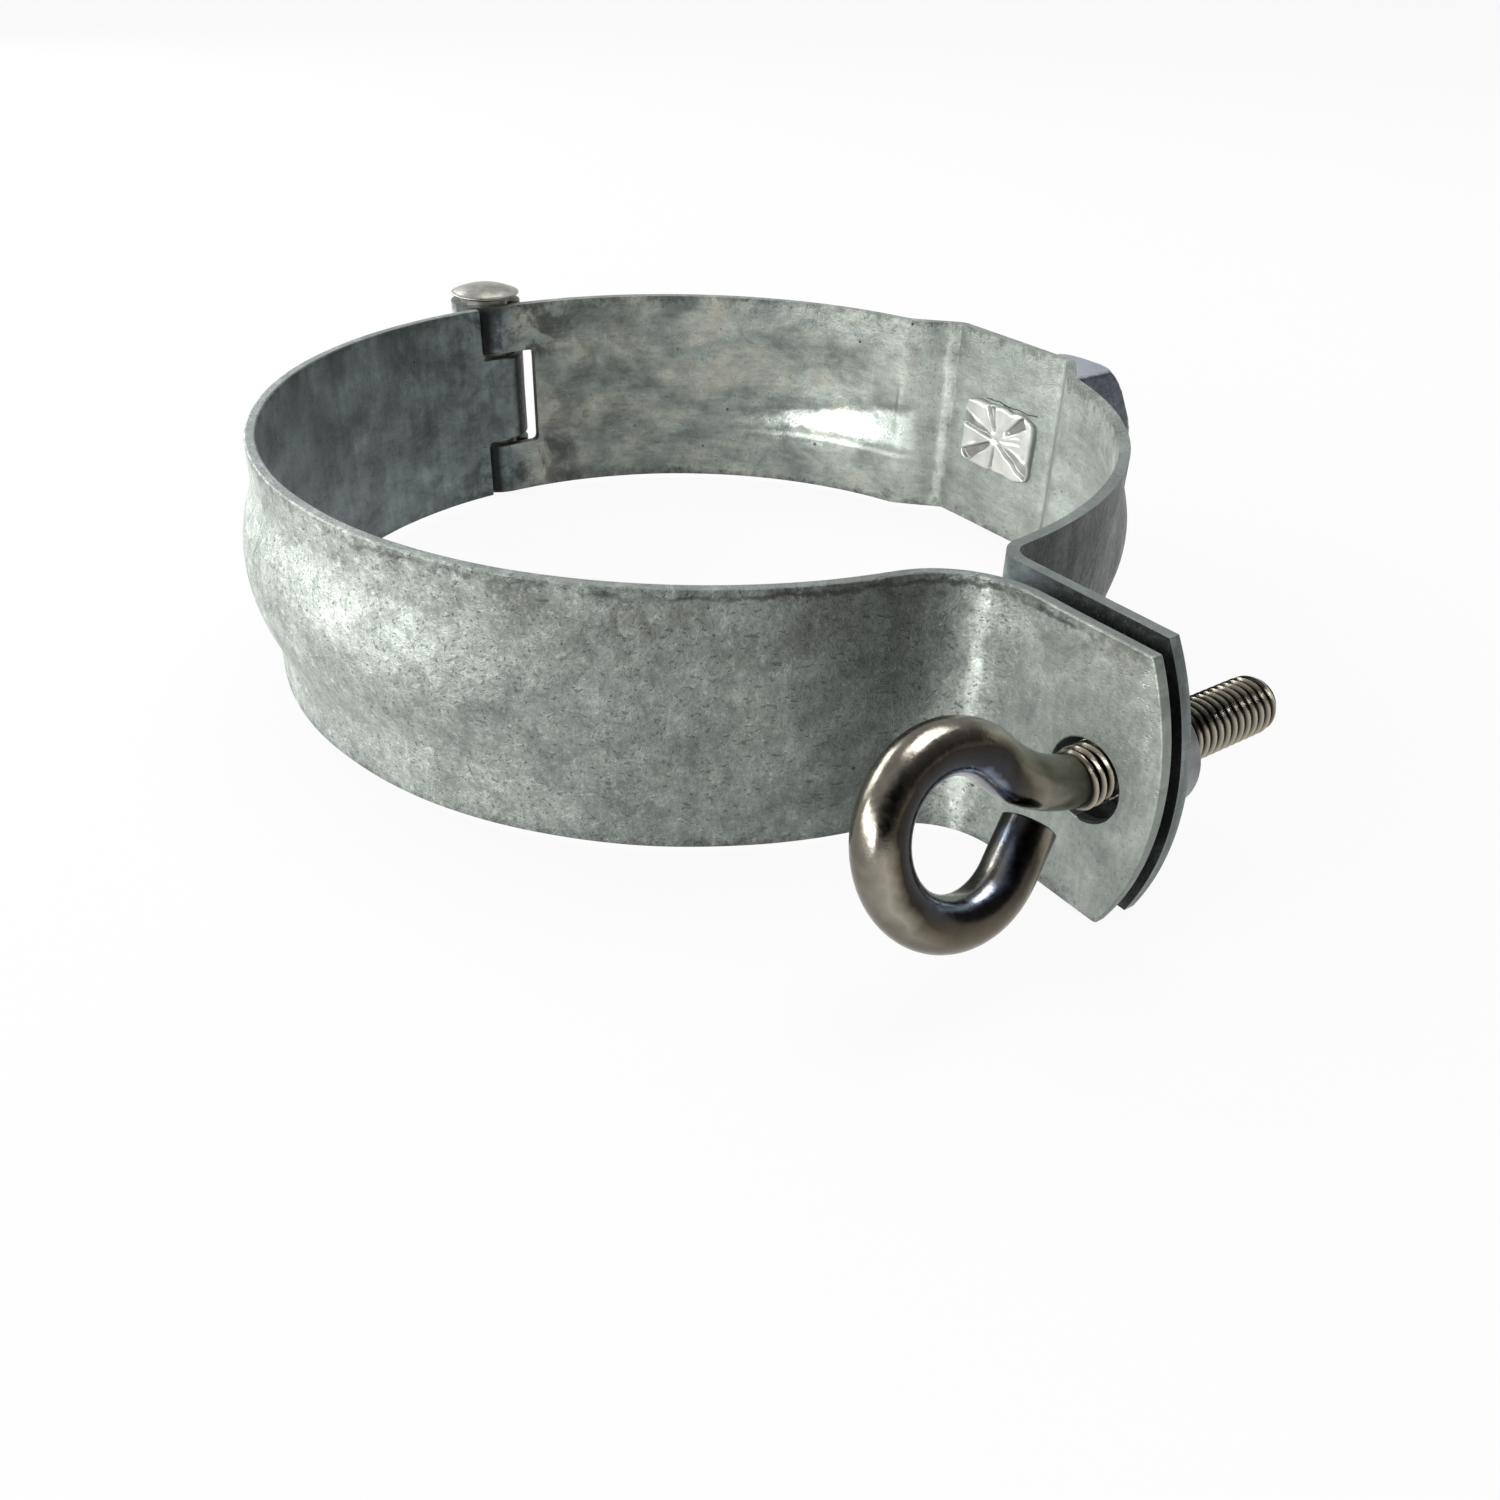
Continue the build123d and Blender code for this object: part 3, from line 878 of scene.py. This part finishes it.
def shaded(add, base, value):
    """Multiply a colour by a value."""
    return mixed(add, 1.0, base, grey(add, value), "MULTIPLY")


def galvanised(name, darker):
    """Hot-dip zinc; darker is how much of it has gone, as on sheared edges."""
    material, shader, add, links = finish(name)
    where = in_millimetres(add)
    x, y, z = add("ShaderNodeSeparateXYZ", {0: where}).outputs

    # Which side of the strip this is: 0 outside the ring, 1 inside
    facing = add("ShaderNodeTexCoord").outputs["Normal"]
    plan = add("ShaderNodeVectorMath", {0: where, 1: (1, 1, 0)}, operation="MULTIPLY").outputs[0]
    plan = add("ShaderNodeVectorMath", {0: plan}, operation="NORMALIZE").outputs[0]
    outwards = add("ShaderNodeVectorMath", {0: facing, 1: plan}, operation="DOT_PRODUCT")
    inside = remap(add, outwards.outputs["Value"], 0.012, -0.012)
    at_rear = remap(add, y, -1.5, 1.5)

    def parted(share, low, high):
        """One value where the share is 0 and another where it is 1."""
        return add("ShaderNodeMix", {0: share, 2: low, 3: high}).outputs[0]

    # Painted light and shade, place by place: outside, the front half lighter on the left and darker to the right;
    # inside, darker on the left and near black between the ears
    wander = remap(add, cloud(add, where, 14.0, 3.0, 0.5), 0.3, 0.7, -5.0, 5.0)
    nudge = remap(add, cloud(add, where, 3.0, 3.0, 0.6), 0.3, 0.7, -0.35, 0.35)
    x_wander = maths(add, "ADD", x, wander)
    x_nudge = maths(add, "ADD", x, nudge)
    front_out_painted_light = along_x(add, x_wander, [
        (-60, 1.0), (-24, 0.95), (-12, 0.90), (18, 0.88), (30, 0.74), (35, 0.60), (40, 0.52), (46, 0.60),
    ])
    # Painted highlight along the bend into the front ear
    bend_painted_highlight = along_x(add, x_nudge, [
        (46, 1.0), (50.3, 0.58), (52.6, 0.9), (54.0, 1.6), (54.8, 3.4), (55.6, 1.6), (57, 1.05), (60, 1.2),
        (77, 1.35),
    ])
    # Inside the rear half, with painted shade by the hinge and near black between the ears
    rear_in_painted_light = along_x(add, x_wander, [
        (-50, 0.72), (-38, 0.76), (-28, 0.86), (-16, 1.0), (-8, 0.82), (12, 0.82), (30, 0.76), (50, 0.66),
        (57, 0.20), (62, 0.05),
    ])
    # Painted highlights and shade at the two creases of the seat, inside
    crease_painted_highlight = along_x(add, x_nudge, [
        (-14, 1.0), (-11.9, 0.85), (-11.3, 1.65), (-10.9, 1.65), (-10.3, 0.76), (-8, 1.0), (9.3, 1.0),
        (9.9, 1.3), (10.4, 0.95), (11.6, 0.62), (13.5, 0.72), (15.5, 1.0),
    ])
    rear_in_painted_light = maths(add, "MULTIPLY", rear_in_painted_light, crease_painted_highlight)

    # A painted highlight in the hollow of the left rear bead, a wedge and a line on its rim, with a band of painted
    # shade above the wedge
    rise = remap(add, cloud(add, where, 2.2, 3.0, 0.6), 0.3, 0.7, -0.5, 0.5)
    z_rise = maths(add, "ADD", z, rise)
    along = remap(add, x, -38.0, -14.0)
    over = maths(add, "SUBTRACT", z_rise, remap(add, along, 0, 1, -4.6, 0.2))
    beside = maths(add, "MULTIPLY", remap(add, x, -38.5, -33.0), remap(add, x, -13.6, -15.5))
    highlight_wedge = maths(add, "MULTIPLY", remap(add, over, 0.5, -0.3), remap(add, z_rise, -5.6, -4.8))
    lip = remap(add, maths(add, "ABSOLUTE", maths(add, "ADD", z, 6.5)), 0.50, 0.10)
    shade = maths(add, "MULTIPLY", remap(add, over, 0.3, 0.8), remap(add, over, 3.0, 1.5))
    bead_painted_highlight = maths(add, "MULTIPLY", beside, maths(add, "MAXIMUM", highlight_wedge, maths(add, "MULTIPLY", lip, 0.7)))
    rear_in_painted_light = maths(add, "MULTIPLY", rear_in_painted_light, remap(add, bead_painted_highlight, 0, 1, 1.0, 2.1))
    rear_in_painted_light = maths(add, "MULTIPLY", rear_in_painted_light,
                    remap(add, maths(add, "MULTIPLY", shade, beside), 0, 1, 1.0, 0.68))
    # Outside the rear half, painted shade from the middle to the ear, with standing trails across it
    rear_out_painted_shade = along_x(add, x_wander, [(-60, 0.8), (20, 0.8), (38, 0.22), (52, 0.13), (58, 0.16), (66, 0.7)])
    trails = cloud(add, in_millimetres(add, (1, 1, 0.06)), 2.6, 4.0, 0.6)
    trails = parted(remap(add, x, 30, 44), 1.0, remap(add, trails, 0.40, 0.62, 0.45, 1.35))
    rear_out_painted_shade = maths(add, "MULTIPLY", rear_out_painted_shade, trails)
    # Inside the front half, painted shade on the left and near black between the ears
    front_in_painted_shade = along_x(add, x_wander, [
        (-50, 0.46), (-30, 0.38), (0, 0.7), (48, 0.7), (56, 0.25), (62, 0.05),
    ])

    outer = parted(at_rear, maths(add, "MULTIPLY", front_out_painted_light, bend_painted_highlight), rear_out_painted_shade)
    painted_light_and_shade = parted(inside, outer, parted(at_rear, front_in_painted_shade, rear_in_painted_light))

    # Clouds from large to fine; fine streaks stand inside the front half and lie in the rear one
    large = remap(add, cloud(add, where, 9.0, 6.0, 0.62, 0.6), 0.32, 0.68, 0.72, 1.20)
    smeared = cloud(add, in_millimetres(add, (0.7, 0.7, 1)), 6.0, 5.0, 0.6, 0.3)
    smeared = parted(remap(add, x, -24, -12), remap(add, smeared, 0.37, 0.63, 0.60, 1.30),
                     remap(add, smeared, 0.37, 0.63, 0.86, 1.12))
    large = parted(inside, large, smeared)
    middle = remap(add, cloud(add, where, 1.8, 6.0, 0.75, 0.4), 0.32, 0.68, 0.70, 1.26)
    calm = maths(add, "MAXIMUM", inside, remap(add, x, 56, 60))
    middle = parted(calm, middle, remap(add, middle, 0.70, 1.26, 0.88, 1.10))
    standing = remap(add, cloud(add, in_millimetres(add, (1, 1, 0.10)), 1.3, 5.0, 0.65, 0.5),
                     0.32, 0.68, 0.82, 1.14)
    lying = remap(add, cloud(add, in_millimetres(add, (0.22, 0.22, 1)), 0.9, 4.0, 0.65, 0.2),
                  0.32, 0.68, 0.86, 1.12)
    drawn = remap(add, cloud(add, in_millimetres(add, (1, 1, 0.25), (0.5, 0.5, 0.0)), 0.8, 3.0, 0.6),
                  0.35, 0.65, 0.90, 1.08)
    lines = parted(inside, drawn, parted(at_rear, standing, lying))
    cells = add("ShaderNodeTexVoronoi", {"Vector": where, "Scale": 1 / 2.4, "Randomness": 1.0})
    crystal = add("ShaderNodeSeparateColor", {0: cells.outputs["Color"]}).outputs[0]
    flake = add("ShaderNodeTexVoronoi", {"Vector": where, "Scale": 1 / 0.4, "Randomness": 1.0})
    flake = add("ShaderNodeSeparateColor", {0: flake.outputs["Color"]}).outputs[0]
    grain = cloud(add, where, 0.35, 3.0, 0.75)
    tone = maths(add, "MULTIPLY", large, middle)
    tone = maths(add, "MULTIPLY", tone, lines)
    tone = maths(add, "MULTIPLY", tone, remap(add, crystal, 0, 1, 0.95, 1.05))
    sparkle = parted(calm, remap(add, flake, 0.82, 1.0, 0.97, 1.24), remap(add, flake, 0.9, 1.0, 1.0, 1.06))
    tone = maths(add, "MULTIPLY", tone, sparkle)
    gritty = parted(calm, remap(add, grain, 0.3, 0.7, 0.76, 1.18), remap(add, grain, 0.3, 0.7, 0.90, 1.08))
    tone = maths(add, "MULTIPLY", tone, gritty)

    # Dirt: soot-like smears by the hinge and along the top of the front half
    smear = remap(add, cloud(add, where, 5.0, 5.0, 0.65, 0.4), 0.46, 0.62)
    by_hinge = remap(add, x, -40, -50)
    near_top = maths(add, "MULTIPLY", remap(add, z, 5.0, 11.0), remap(add, x, 8.0, 30.0))
    by_seat = maths(add, "MULTIPLY", remap(add, x, -23, -18), remap(add, x, -9, -12))
    by_seat = maths(add, "MULTIPLY", maths(add, "MULTIPLY", by_seat, at_rear), remap(add, z, 7.0, 10.0))
    near_top = maths(add, "MAXIMUM", near_top, by_seat)
    dirt = maths(add, "MULTIPLY", smear, maths(add, "MAXIMUM", by_hinge, near_top))
    tone = maths(add, "MULTIPLY", tone, remap(add, dirt, 0, 1, 1.0, 0.60))
    tone = maths(add, "MULTIPLY", tone, painted_light_and_shade)
    # Painted shade in the hinge, where no light gets far: behind the ring and between tongue and tabs
    off_ring = add("ShaderNodeVectorMath", {0: where, 1: (1, 1, 0)}, operation="MULTIPLY").outputs[0]
    off_ring = add("ShaderNodeVectorMath", {0: off_ring}, operation="LENGTH").outputs["Value"]
    in_hinge = remap(add, x, -47.5, -48.5)
    painted_hinge_shade = maths(add, "MULTIPLY", inside, remap(add, off_ring, 50.12, 50.5))
    for gap in ((TONGUE[1] + WINDOW[1]) / 2, (TONGUE[0] + WINDOW[0]) / 2):
        off_gap = maths(add, "ABSOLUTE", maths(add, "SUBTRACT", z, gap))
        slit = maths(add, "MULTIPLY", remap(add, off_gap, 0.75, 0.55), remap(add, off_ring, 50.0, 50.3))
        painted_hinge_shade = maths(add, "MAXIMUM", painted_hinge_shade, slit)
    off_y = maths(add, "ABSOLUTE", maths(add, "ADD", y, 0.6))
    painted_hinge_shade = maths(add, "MULTIPLY", painted_hinge_shade, maths(add, "MULTIPLY", in_hinge, remap(add, off_y, 5.2, 4.2)))
    tone = maths(add, "MULTIPLY", tone, remap(add, painted_hinge_shade, 0, 1, 1.0, 0.08))
    # Darker in patches along the seam where the hinge starts, inside
    seam = maths(add, "MULTIPLY", remap(add, x, -48.8, -49.8), remap(add, smear, 0.2, 0.8))
    seam = maths(add, "MULTIPLY", maths(add, "MULTIPLY", seam, inside), remap(add, maths(add, "ABSOLUTE", z), 6, 7))
    tone = maths(add, "MULTIPLY", tone, remap(add, seam, 0, 1, 1.0, 0.50))

    # Colour: green-grey, bluer inside the front half, olive and brown stains in the rear one
    warm = remap(add, cloud(add, in_millimetres(add, (0.7, 0.7, 1)), 6.0, 4.0, 0.6, 0.4), 0.48, 0.66)
    base = mixed(add, remap(add, tone, 0.3, 0.9), ZINC_DARK, ZINC_PALE)
    stain = maths(add, "MULTIPLY", maths(add, "MULTIPLY", warm, inside), at_rear)
    stain = maths(add, "MULTIPLY", stain, remap(add, x, -10, -26))
    base = mixed(add, maths(add, "MULTIPLY", stain, 0.8), base, ZINC_STAIN)
    base = mixed(add, maths(add, "MULTIPLY", warm, 0.20), base, ZINC_WARM)
    base = mixed(add, maths(add, "MULTIPLY", dirt, 0.5), base, ZINC_WARM)
    blue = maths(add, "MULTIPLY", inside, maths(add, "SUBTRACT", 1.0, at_rear))
    base = mixed(add, maths(add, "MAXIMUM", blue, remap(add, maths(add, "MULTIPLY", at_rear, x), 34, 46)),
                 base, ZINC_BLUE)
    base = shaded(add, base, tone)

    # Wear: a dark worn line under the sheared edges, cracks there, scratches and pits; also painted shade on the seat
    # where the slot stands open
    height = maths(add, "ABSOLUTE", z)
    ragged = remap(add, cloud(add, where, 1.6, 4.0, 0.7), 0.35, 0.65, -1.3, 1.3)
    edge_wear = remap(add, maths(add, "ADD", height, ragged), 12.9, 14.6)
    cracks = add("ShaderNodeTexVoronoi", {
        "Vector": in_millimetres(add, (1, 1, 1.6), (0.3, 0.1, 0.4)), "Scale": 1 / 1.3,
    }, feature="DISTANCE_TO_EDGE")
    crack = maths(add, "MULTIPLY", remap(add, cracks.outputs["Distance"], 0.05, 0.0),
                  maths(add, "MULTIPLY", edge_wear, remap(add, large, 1.1, 0.9)))
    marks = []
    for turn, stretch in (((0.2, 0.9, 0.3), 22.0), ((1.1, 0.2, -0.7), 14.0)):
        along = in_millimetres(add, (1, 1 / stretch, 1), turn)
        marks.append(remap(add, cloud(add, along, 0.5, 2.0, 0.5), 0.655, 0.70))
    scratch = maths(add, "MAXIMUM", *marks)
    spots = add("ShaderNodeTexVoronoi", {"Vector": where, "Scale": 1 / 3.2})
    chance = add("ShaderNodeSeparateColor", {0: spots.outputs["Color"]}).outputs[1]
    pits = maths(add, "MULTIPLY", remap(add, spots.outputs["Distance"], 0.085, 0.055),
                 remap(add, maths(add, "SUBTRACT", chance, maths(add, "MULTIPLY", calm, 0.16)), 0.62, 0.75))
    # Painted shade: a dark line on the seat where the slot stands open above the staked end
    slot_line = maths(add, "ABSOLUTE", maths(add, "SUBTRACT", z, maths(add, "ADD", 5.25, maths(add, "MULTIPLY", nudge, 0.8))))
    slot_painted_shade = maths(add, "MULTIPLY", remap(add, slot_line, 0.14, 0.05), remap(add, y, 52.8, 52.95))
    slot_painted_shade = maths(add, "MULTIPLY", slot_painted_shade, maths(add, "MULTIPLY", remap(add, x, -3.8, -3.2), remap(add, x, 7.0, 6.6)))
    base = mixed(add, maths(add, "MULTIPLY", maths(add, "MULTIPLY", slot_painted_shade, inside), 0.9), base, (0.02, 0.02, 0.018))
    base = mixed(add, maths(add, "MULTIPLY", edge_wear, 0.55), base, (0.06, 0.064, 0.06))
    # A dark line follows the top edge of the front half, broken where the zinc still holds
    line_at = maths(add, "SUBTRACT", z, maths(add, "ADD", 13.3, maths(add, "MULTIPLY", nudge, 1.6)))
    top_line = remap(add, maths(add, "ABSOLUTE", line_at), 0.38, 0.12)
    top_line = maths(add, "MULTIPLY", top_line, maths(add, "MULTIPLY", remap(add, x, 2, 14), remap(add, large, 1.1, 0.9)))
    top_line = maths(add, "MULTIPLY", top_line, maths(add, "SUBTRACT", 1.0, at_rear))
    base = mixed(add, maths(add, "MULTIPLY", top_line, 0.75), base, (0.03, 0.031, 0.028))
    base = mixed(add, maths(add, "MULTIPLY", crack, 0.8), base, (0.02, 0.02, 0.018))
    specks = remap(add, cloud(add, where, 0.6, 3.0, 0.6), 0.655, 0.70)
    specks = maths(add, "MULTIPLY", specks, maths(add, "SUBTRACT", 1.0, calm))
    base = mixed(add, maths(add, "MULTIPLY", specks, 0.55), base, (0.05, 0.055, 0.05))
    scratch = maths(add, "MULTIPLY", scratch, remap(add, calm, 0, 1, 1.0, 0.45))
    base = mixed(add, maths(add, "MULTIPLY", scratch, 0.5), base, (0.06, 0.065, 0.06))
    base = mixed(add, maths(add, "MULTIPLY", pits, 0.8), base, (0.03, 0.03, 0.027))
    base = mixed(add, darker, base, (0.15, 0.17, 0.155))
    links.new(base, shader.inputs["Base Color"])

    # Crests of the beads are a little smoother, and the painted highlight in the rear bead's hollow smoother still
    crest = maths(add, "MULTIPLY", remap(add, off_ring, 51.6, 53.2), remap(add, off_ring, 54.5, 54.0))
    shader.inputs["Metallic"].default_value = 0.6
    rough = remap(add, cloud(add, where, 3.0, 4.0), 0.3, 0.7, 0.38, 0.54)
    rough = maths(add, "ADD", rough, remap(add, flake, 0, 1, -0.05, 0.05))
    rough = maths(add, "SUBTRACT", rough, maths(add, "MULTIPLY", crest, 0.02))
    rough = maths(add, "SUBTRACT", rough, maths(add, "MULTIPLY", maths(add, "MULTIPLY", bead_painted_highlight, inside), 0.18))
    links.new(rough, shader.inputs["Roughness"])
    relief = maths(add, "ADD", grain, maths(add, "MULTIPLY", middle, 3.0))
    relief = maths(add, "SUBTRACT", relief, maths(add, "ADD", scratch, pits))
    bump = add("ShaderNodeBump", {"Height": relief, "Strength": 0.85, "Distance": 0.00007})
    links.new(bump.outputs[0], shader.inputs["Normal"])
    return material


ZINC_PALE = (0.435, 0.475, 0.43)
ZINC_DARK = (0.405, 0.452, 0.415)
ZINC_WARM = (0.46, 0.455, 0.395)
ZINC_STAIN = (0.43, 0.415, 0.345)
ZINC_BLUE = (0.375, 0.45, 0.455)
zinc = galvanised("hot-dip zinc", 0.0)
sheared = galvanised("sheared strip edge", 0.5)
for band in (front_band, rear_band):
    band.data.materials.append(zinc)
    band.data.materials.append(sheared)

# %% Plated steel


def ring_painted_reflection(add, where, base):
    """Painted reflections on the near side of the eye's ring: grey and blue by the hole, a black band, then a bright
    band towards the outside; painted shade towards its bottom.
    """
    x, y, z = add("ShaderNodeSeparateXYZ", {0: where}).outputs
    off_x = maths(add, "SUBTRACT", x, EAR_HOLE_X)
    up = maths(add, "SUBTRACT", maths(add, "MULTIPLY", z, cos(tilt)), maths(add, "MULTIPLY", off_x, sin(tilt)))
    near = maths(add, "ADD", maths(add, "MULTIPLY", off_x, cos(tilt)), maths(add, "MULTIPLY", z, sin(tilt)))
    back = maths(add, "SUBTRACT", y, EYE_Y)
    flat = add("ShaderNodeCombineXYZ", {0: back, 1: maths(add, "ADD", up, EYE_DROP)})
    radius = add("ShaderNodeVectorMath", {0: flat.outputs[0]}, operation="LENGTH").outputs["Value"]
    wobble = remap(add, cloud(add, where, 3.0, 3.0, 0.55), 0.3, 0.7, -0.35, 0.35)
    share = remap(add, maths(add, "ADD", radius, wobble), EYE_R - ROD_R, EYE_R + ROD_R)
    reflection_bands = ramp(add, share, [
        (0.0, (0.30, 0.28, 0.25)), (0.13, (0.20, 0.235, 0.31)), (0.24, (0.035, 0.036, 0.045)),
        (0.52, (0.020, 0.017, 0.014)), (0.63, (0.13, 0.11, 0.08)), (0.80, (0.35, 0.32, 0.27)),
        (1.0, (0.15, 0.135, 0.11)),
    ])
    # Painted shade towards the bottom of the ring
    low = maths(add, "MULTIPLY", remap(add, up, -4.0, -8.5), remap(add, share, 0.25, 0.5))
    reflection_bands = mixed(add, maths(add, "MULTIPLY", low, 0.85), reflection_bands, (0.10, 0.085, 0.058))
    on_ring = maths(add, "MULTIPLY", remap(add, back, 10.0, 6.0), remap(add, near, -1.2, 0.4))
    return mixed(add, maths(add, "MULTIPLY", on_ring, 0.92), base, reflection_bands)


def plated(name, light, dark, stain, rough, size, metal=1.0, thread=None, grit=0.15):
    """Bright plating that has gone cloudy, with stains of another colour."""
    material, shader, add, links = finish(name)
    where = in_millimetres(add)
    base = ramp(add, cloud(add, where, size, 4.0, 0.6), [(0.35, dark), (0.65, light)])
    patches = remap(add, cloud(add, where, size * 0.7, 3.0, 0.6, 0.4), 0.52, 0.68, 0, 0.6)
    base = mixed(add, patches, base, stain)
    # Painted reflections on the eye's ring
    if name == "nickelled rod":
        base = ring_painted_reflection(add, where, base)
    if thread:
        # Dark in the roots of the thread, bright on its crests
        x, y, z = add("ShaderNodeSeparateXYZ", {0: where}).outputs
        from_axis = add("ShaderNodeCombineXYZ", {0: maths(add, "SUBTRACT", x, EAR_HOLE_X), 1: z})
        radius = add("ShaderNodeVectorMath", {0: from_axis.outputs[0]}, operation="LENGTH")
        crest = remap(add, radius.outputs["Value"], 2.6, 2.97)
        roots_dark_crests_bright = mixed(add, crest, (0.018, 0.017, 0.014), thread)
        base = mixed(add, remap(add, y, THREAD_START_Y - 0.6, THREAD_START_Y + 0.2), base, roots_dark_crests_bright)
    if name == "squashed plating":
        # Painted shade in the grooves and round the foot of the staked end: the lower the surface, the darker
        depth = add("ShaderNodeSeparateXYZ", {0: where}).outputs[1]
        base = shaded(add, base, remap(add, depth, SEAT_INNER_Y - 0.80, SEAT_INNER_Y - 0.40, 1.0, 0.42))
    links.new(base, shader.inputs["Base Color"])
    shader.inputs["Metallic"].default_value = metal
    fine = cloud(add, where, 0.9, 4.0, 0.65)
    links.new(remap(add, fine, 0.3, 0.7, rough - 0.06, rough + 0.10), shader.inputs["Roughness"])
    bump = add("ShaderNodeBump", {"Height": fine, "Strength": grit, "Distance": 0.00004})
    links.new(bump.outputs[0], shader.inputs["Normal"])
    return material


nickel = plated("nickelled rod", (0.17, 0.16, 0.13), (0.085, 0.08, 0.062), (0.09, 0.075, 0.045), 0.19, 4.0,
                thread=(0.42, 0.38, 0.30), grit=0.55)
rivet_steel = plated("rivet steel", (0.36, 0.345, 0.31), (0.25, 0.24, 0.215), (0.22, 0.21, 0.18), 0.32, 2.6)
boss_zinc = plated("boss plating", (0.40, 0.43, 0.50), (0.29, 0.32, 0.39), (0.40, 0.39, 0.40), 0.28, 7.0)
# The nut's plating is made darker than the boss's as painted shade, for it sits in the gap between the ears
nut_zinc_in_painted_shade = plated("nut plating", (0.25, 0.25, 0.26), (0.15, 0.15, 0.16), (0.12, 0.11, 0.09), 0.3, 4.0)
star_zinc = plated("squashed plating", (0.70, 0.71, 0.65), (0.56, 0.57, 0.525), (0.58, 0.57, 0.50), 0.36,
                   5.0, 0.6)
for part, cover in (
    (eye_bolt, nickel), (rivet, rivet_steel), (nut, nut_zinc_in_painted_shade), (boss, boss_zinc), (star, star_zinc),
):
    part.data.materials.append(cover)

# %% [markdown]
# ## Studio
# The photograph has a white ground, so the floor is white and wide. Metal shows what stands
# round it more than its own colour, so the room is pale round the sides and darker overhead,
# with two broad lamps. The level is such that a white sheet on the floor comes out just white.

# %% Floor
PAPER_WHITE = 0.93
low_corner, high_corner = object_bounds()
floor_bm = bmesh.new()
bmesh.ops.create_grid(floor_bm, x_segments=1, y_segments=1, size=20.0)
bmesh.ops.translate(floor_bm, verts=floor_bm.verts, vec=(0, 0, low_corner.z - 0.0001))
floor_mesh = bpy.data.meshes.new("studio_floor")
floor_bm.to_mesh(floor_mesh)
floor_bm.free()
studio_floor = bpy.data.objects.new("studio_floor", floor_mesh)
bpy.context.scene.collection.objects.link(studio_floor)
studio_floor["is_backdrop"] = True
white, shader, add, links = finish("white floor")
shader.inputs["Base Color"].default_value = (0.5, 0.5, 0.5, 1)
shader.inputs["Roughness"].default_value = 0.9
shader.inputs["Specular IOR Level"].default_value = 0.1
rays = add("ShaderNodeLightPath")
seen = maths(add, "MAXIMUM", rays.outputs["Is Camera Ray"], rays.outputs["Is Glossy Ray"])
seen = maths(add, "MAXIMUM", seen, rays.outputs["Is Transmission Ray"])
glow = add("ShaderNodeEmission")
paper = add("ShaderNodeMixShader", {
    0: maths(add, "MULTIPLY", seen, PAPER_WHITE), 1: shader.outputs[0], 2: glow.outputs[0],
})
links.new(paper.outputs[0], material_output(white).inputs[0])
studio_floor.data.materials.append(white)

# %% Room and lamps
ROOM_WALLS = [(0.0, (0.10,)), (0.45, (0.16,)), (0.75, (0.75,)), (1.0, (1.0,))]
ROOM_UP = [(0.0, (0.8,)), (0.5, (0.8,)), (1.0, (0.6,))]
scene = bpy.context.scene
scene.view_settings.view_transform = "Standard"
world = bpy.data.worlds.new("studio room")
scene.world = world
world.use_nodes = True
nodes, links = world.node_tree.nodes, world.node_tree.links


def room_node(kind, inputs=None, **settings):
    """Add a node to the room, with its settings and inputs."""
    node = nodes.new(kind)
    for key, value in settings.items():
        setattr(node, key, value)
    for key, value in (inputs or {}).items():
        if isinstance(value, bpy.types.NodeSocket):
            links.new(value, node.inputs[key])
        else:
            node.inputs[key].default_value = value
    return node


way = room_node("ShaderNodeTexCoord").outputs["Generated"]
upward = room_node("ShaderNodeSeparateXYZ", {0: way}).outputs["Z"]
# Bright on the window's side, dark on the other
sideways = room_node("ShaderNodeVectorMath", {0: way, 1: (-0.94, -0.2, 0.3)}, operation="DOT_PRODUCT")
walls = ramp(room_node, remap(room_node, sideways.outputs["Value"], -1, 1), ROOM_WALLS)
ceiling = ramp(room_node, upward, ROOM_UP)
picture = mixed(room_node, 1.0, walls, ceiling, "MULTIPLY")
# The side from which the photograph is taken is dark
facing_us = room_node("ShaderNodeVectorMath", {0: way, 1: (0.70, -0.46, 0.54)}, operation="DOT_PRODUCT")
our_side = ramp(room_node, facing_us.outputs["Value"], [(0.74, (1,)), (0.93, (0.03,))])
picture = mixed(room_node, 1.0, picture, our_side, "MULTIPLY")
horizon = ramp(room_node, upward, [(0.0, (1,)), (0.16, (1,)), (0.34, (0,))])
backdrop = mixed(room_node, horizon, picture, (1.0, 1.0, 1.0))
rays = room_node("ShaderNodeLightPath")
mirrored = maths(room_node, "MAXIMUM", rays.outputs["Is Glossy Ray"], rays.outputs["Is Transmission Ray"])
room = mixed(room_node, mirrored, picture, backdrop)
room = mixed(room_node, rays.outputs["Is Camera Ray"], room, (1.0, 1.0, 1.0))
links.new(room, nodes["Background"].inputs[0])
nodes["Background"].inputs[1].default_value = 1.0


def lamp(name, place, aim, size, power, colour=(1, 1, 1)):
    """Broad soft lamp that looks at a point."""
    data = bpy.data.lights.new(name, "AREA")
    data.shape = "RECTANGLE"
    data.size, data.size_y = size
    data.energy = power
    data.color = colour
    light = bpy.data.objects.new(name, data)
    light.location = place
    light.rotation_euler = (Vector(aim) - Vector(place)).to_track_quat("-Z", "Y").to_euler()
    scene.collection.objects.link(light)
    return light


lamp("window", (-0.04, -0.62, 0.22), (0, 0, 0), (0.80, 0.20), 6.0, (0.97, 0.99, 1.0))
lamp("side window", (-0.65, -0.20, 0.30), (0, 0, 0), (0.5, 0.4), 5.0, (0.95, 0.98, 1.0))
lamp("ceiling", (-0.1, 0.25, 0.8), (0, 0, 0), (0.5, 0.5), 6.0)

# %% [markdown]
# ## Sizes
# The sizes of the engineering model and of the finished clamp are printed side by side, to
# show that the finer surfaces did not make it larger.

# %% Sizes and finish
shown_box = [list(corner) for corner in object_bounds()]
for label, box in (("model", cad_box), ("shown", shown_box)):
    print(label, "box in mm:", [[round(value / MM, 2) for value in corner] for corner in box])
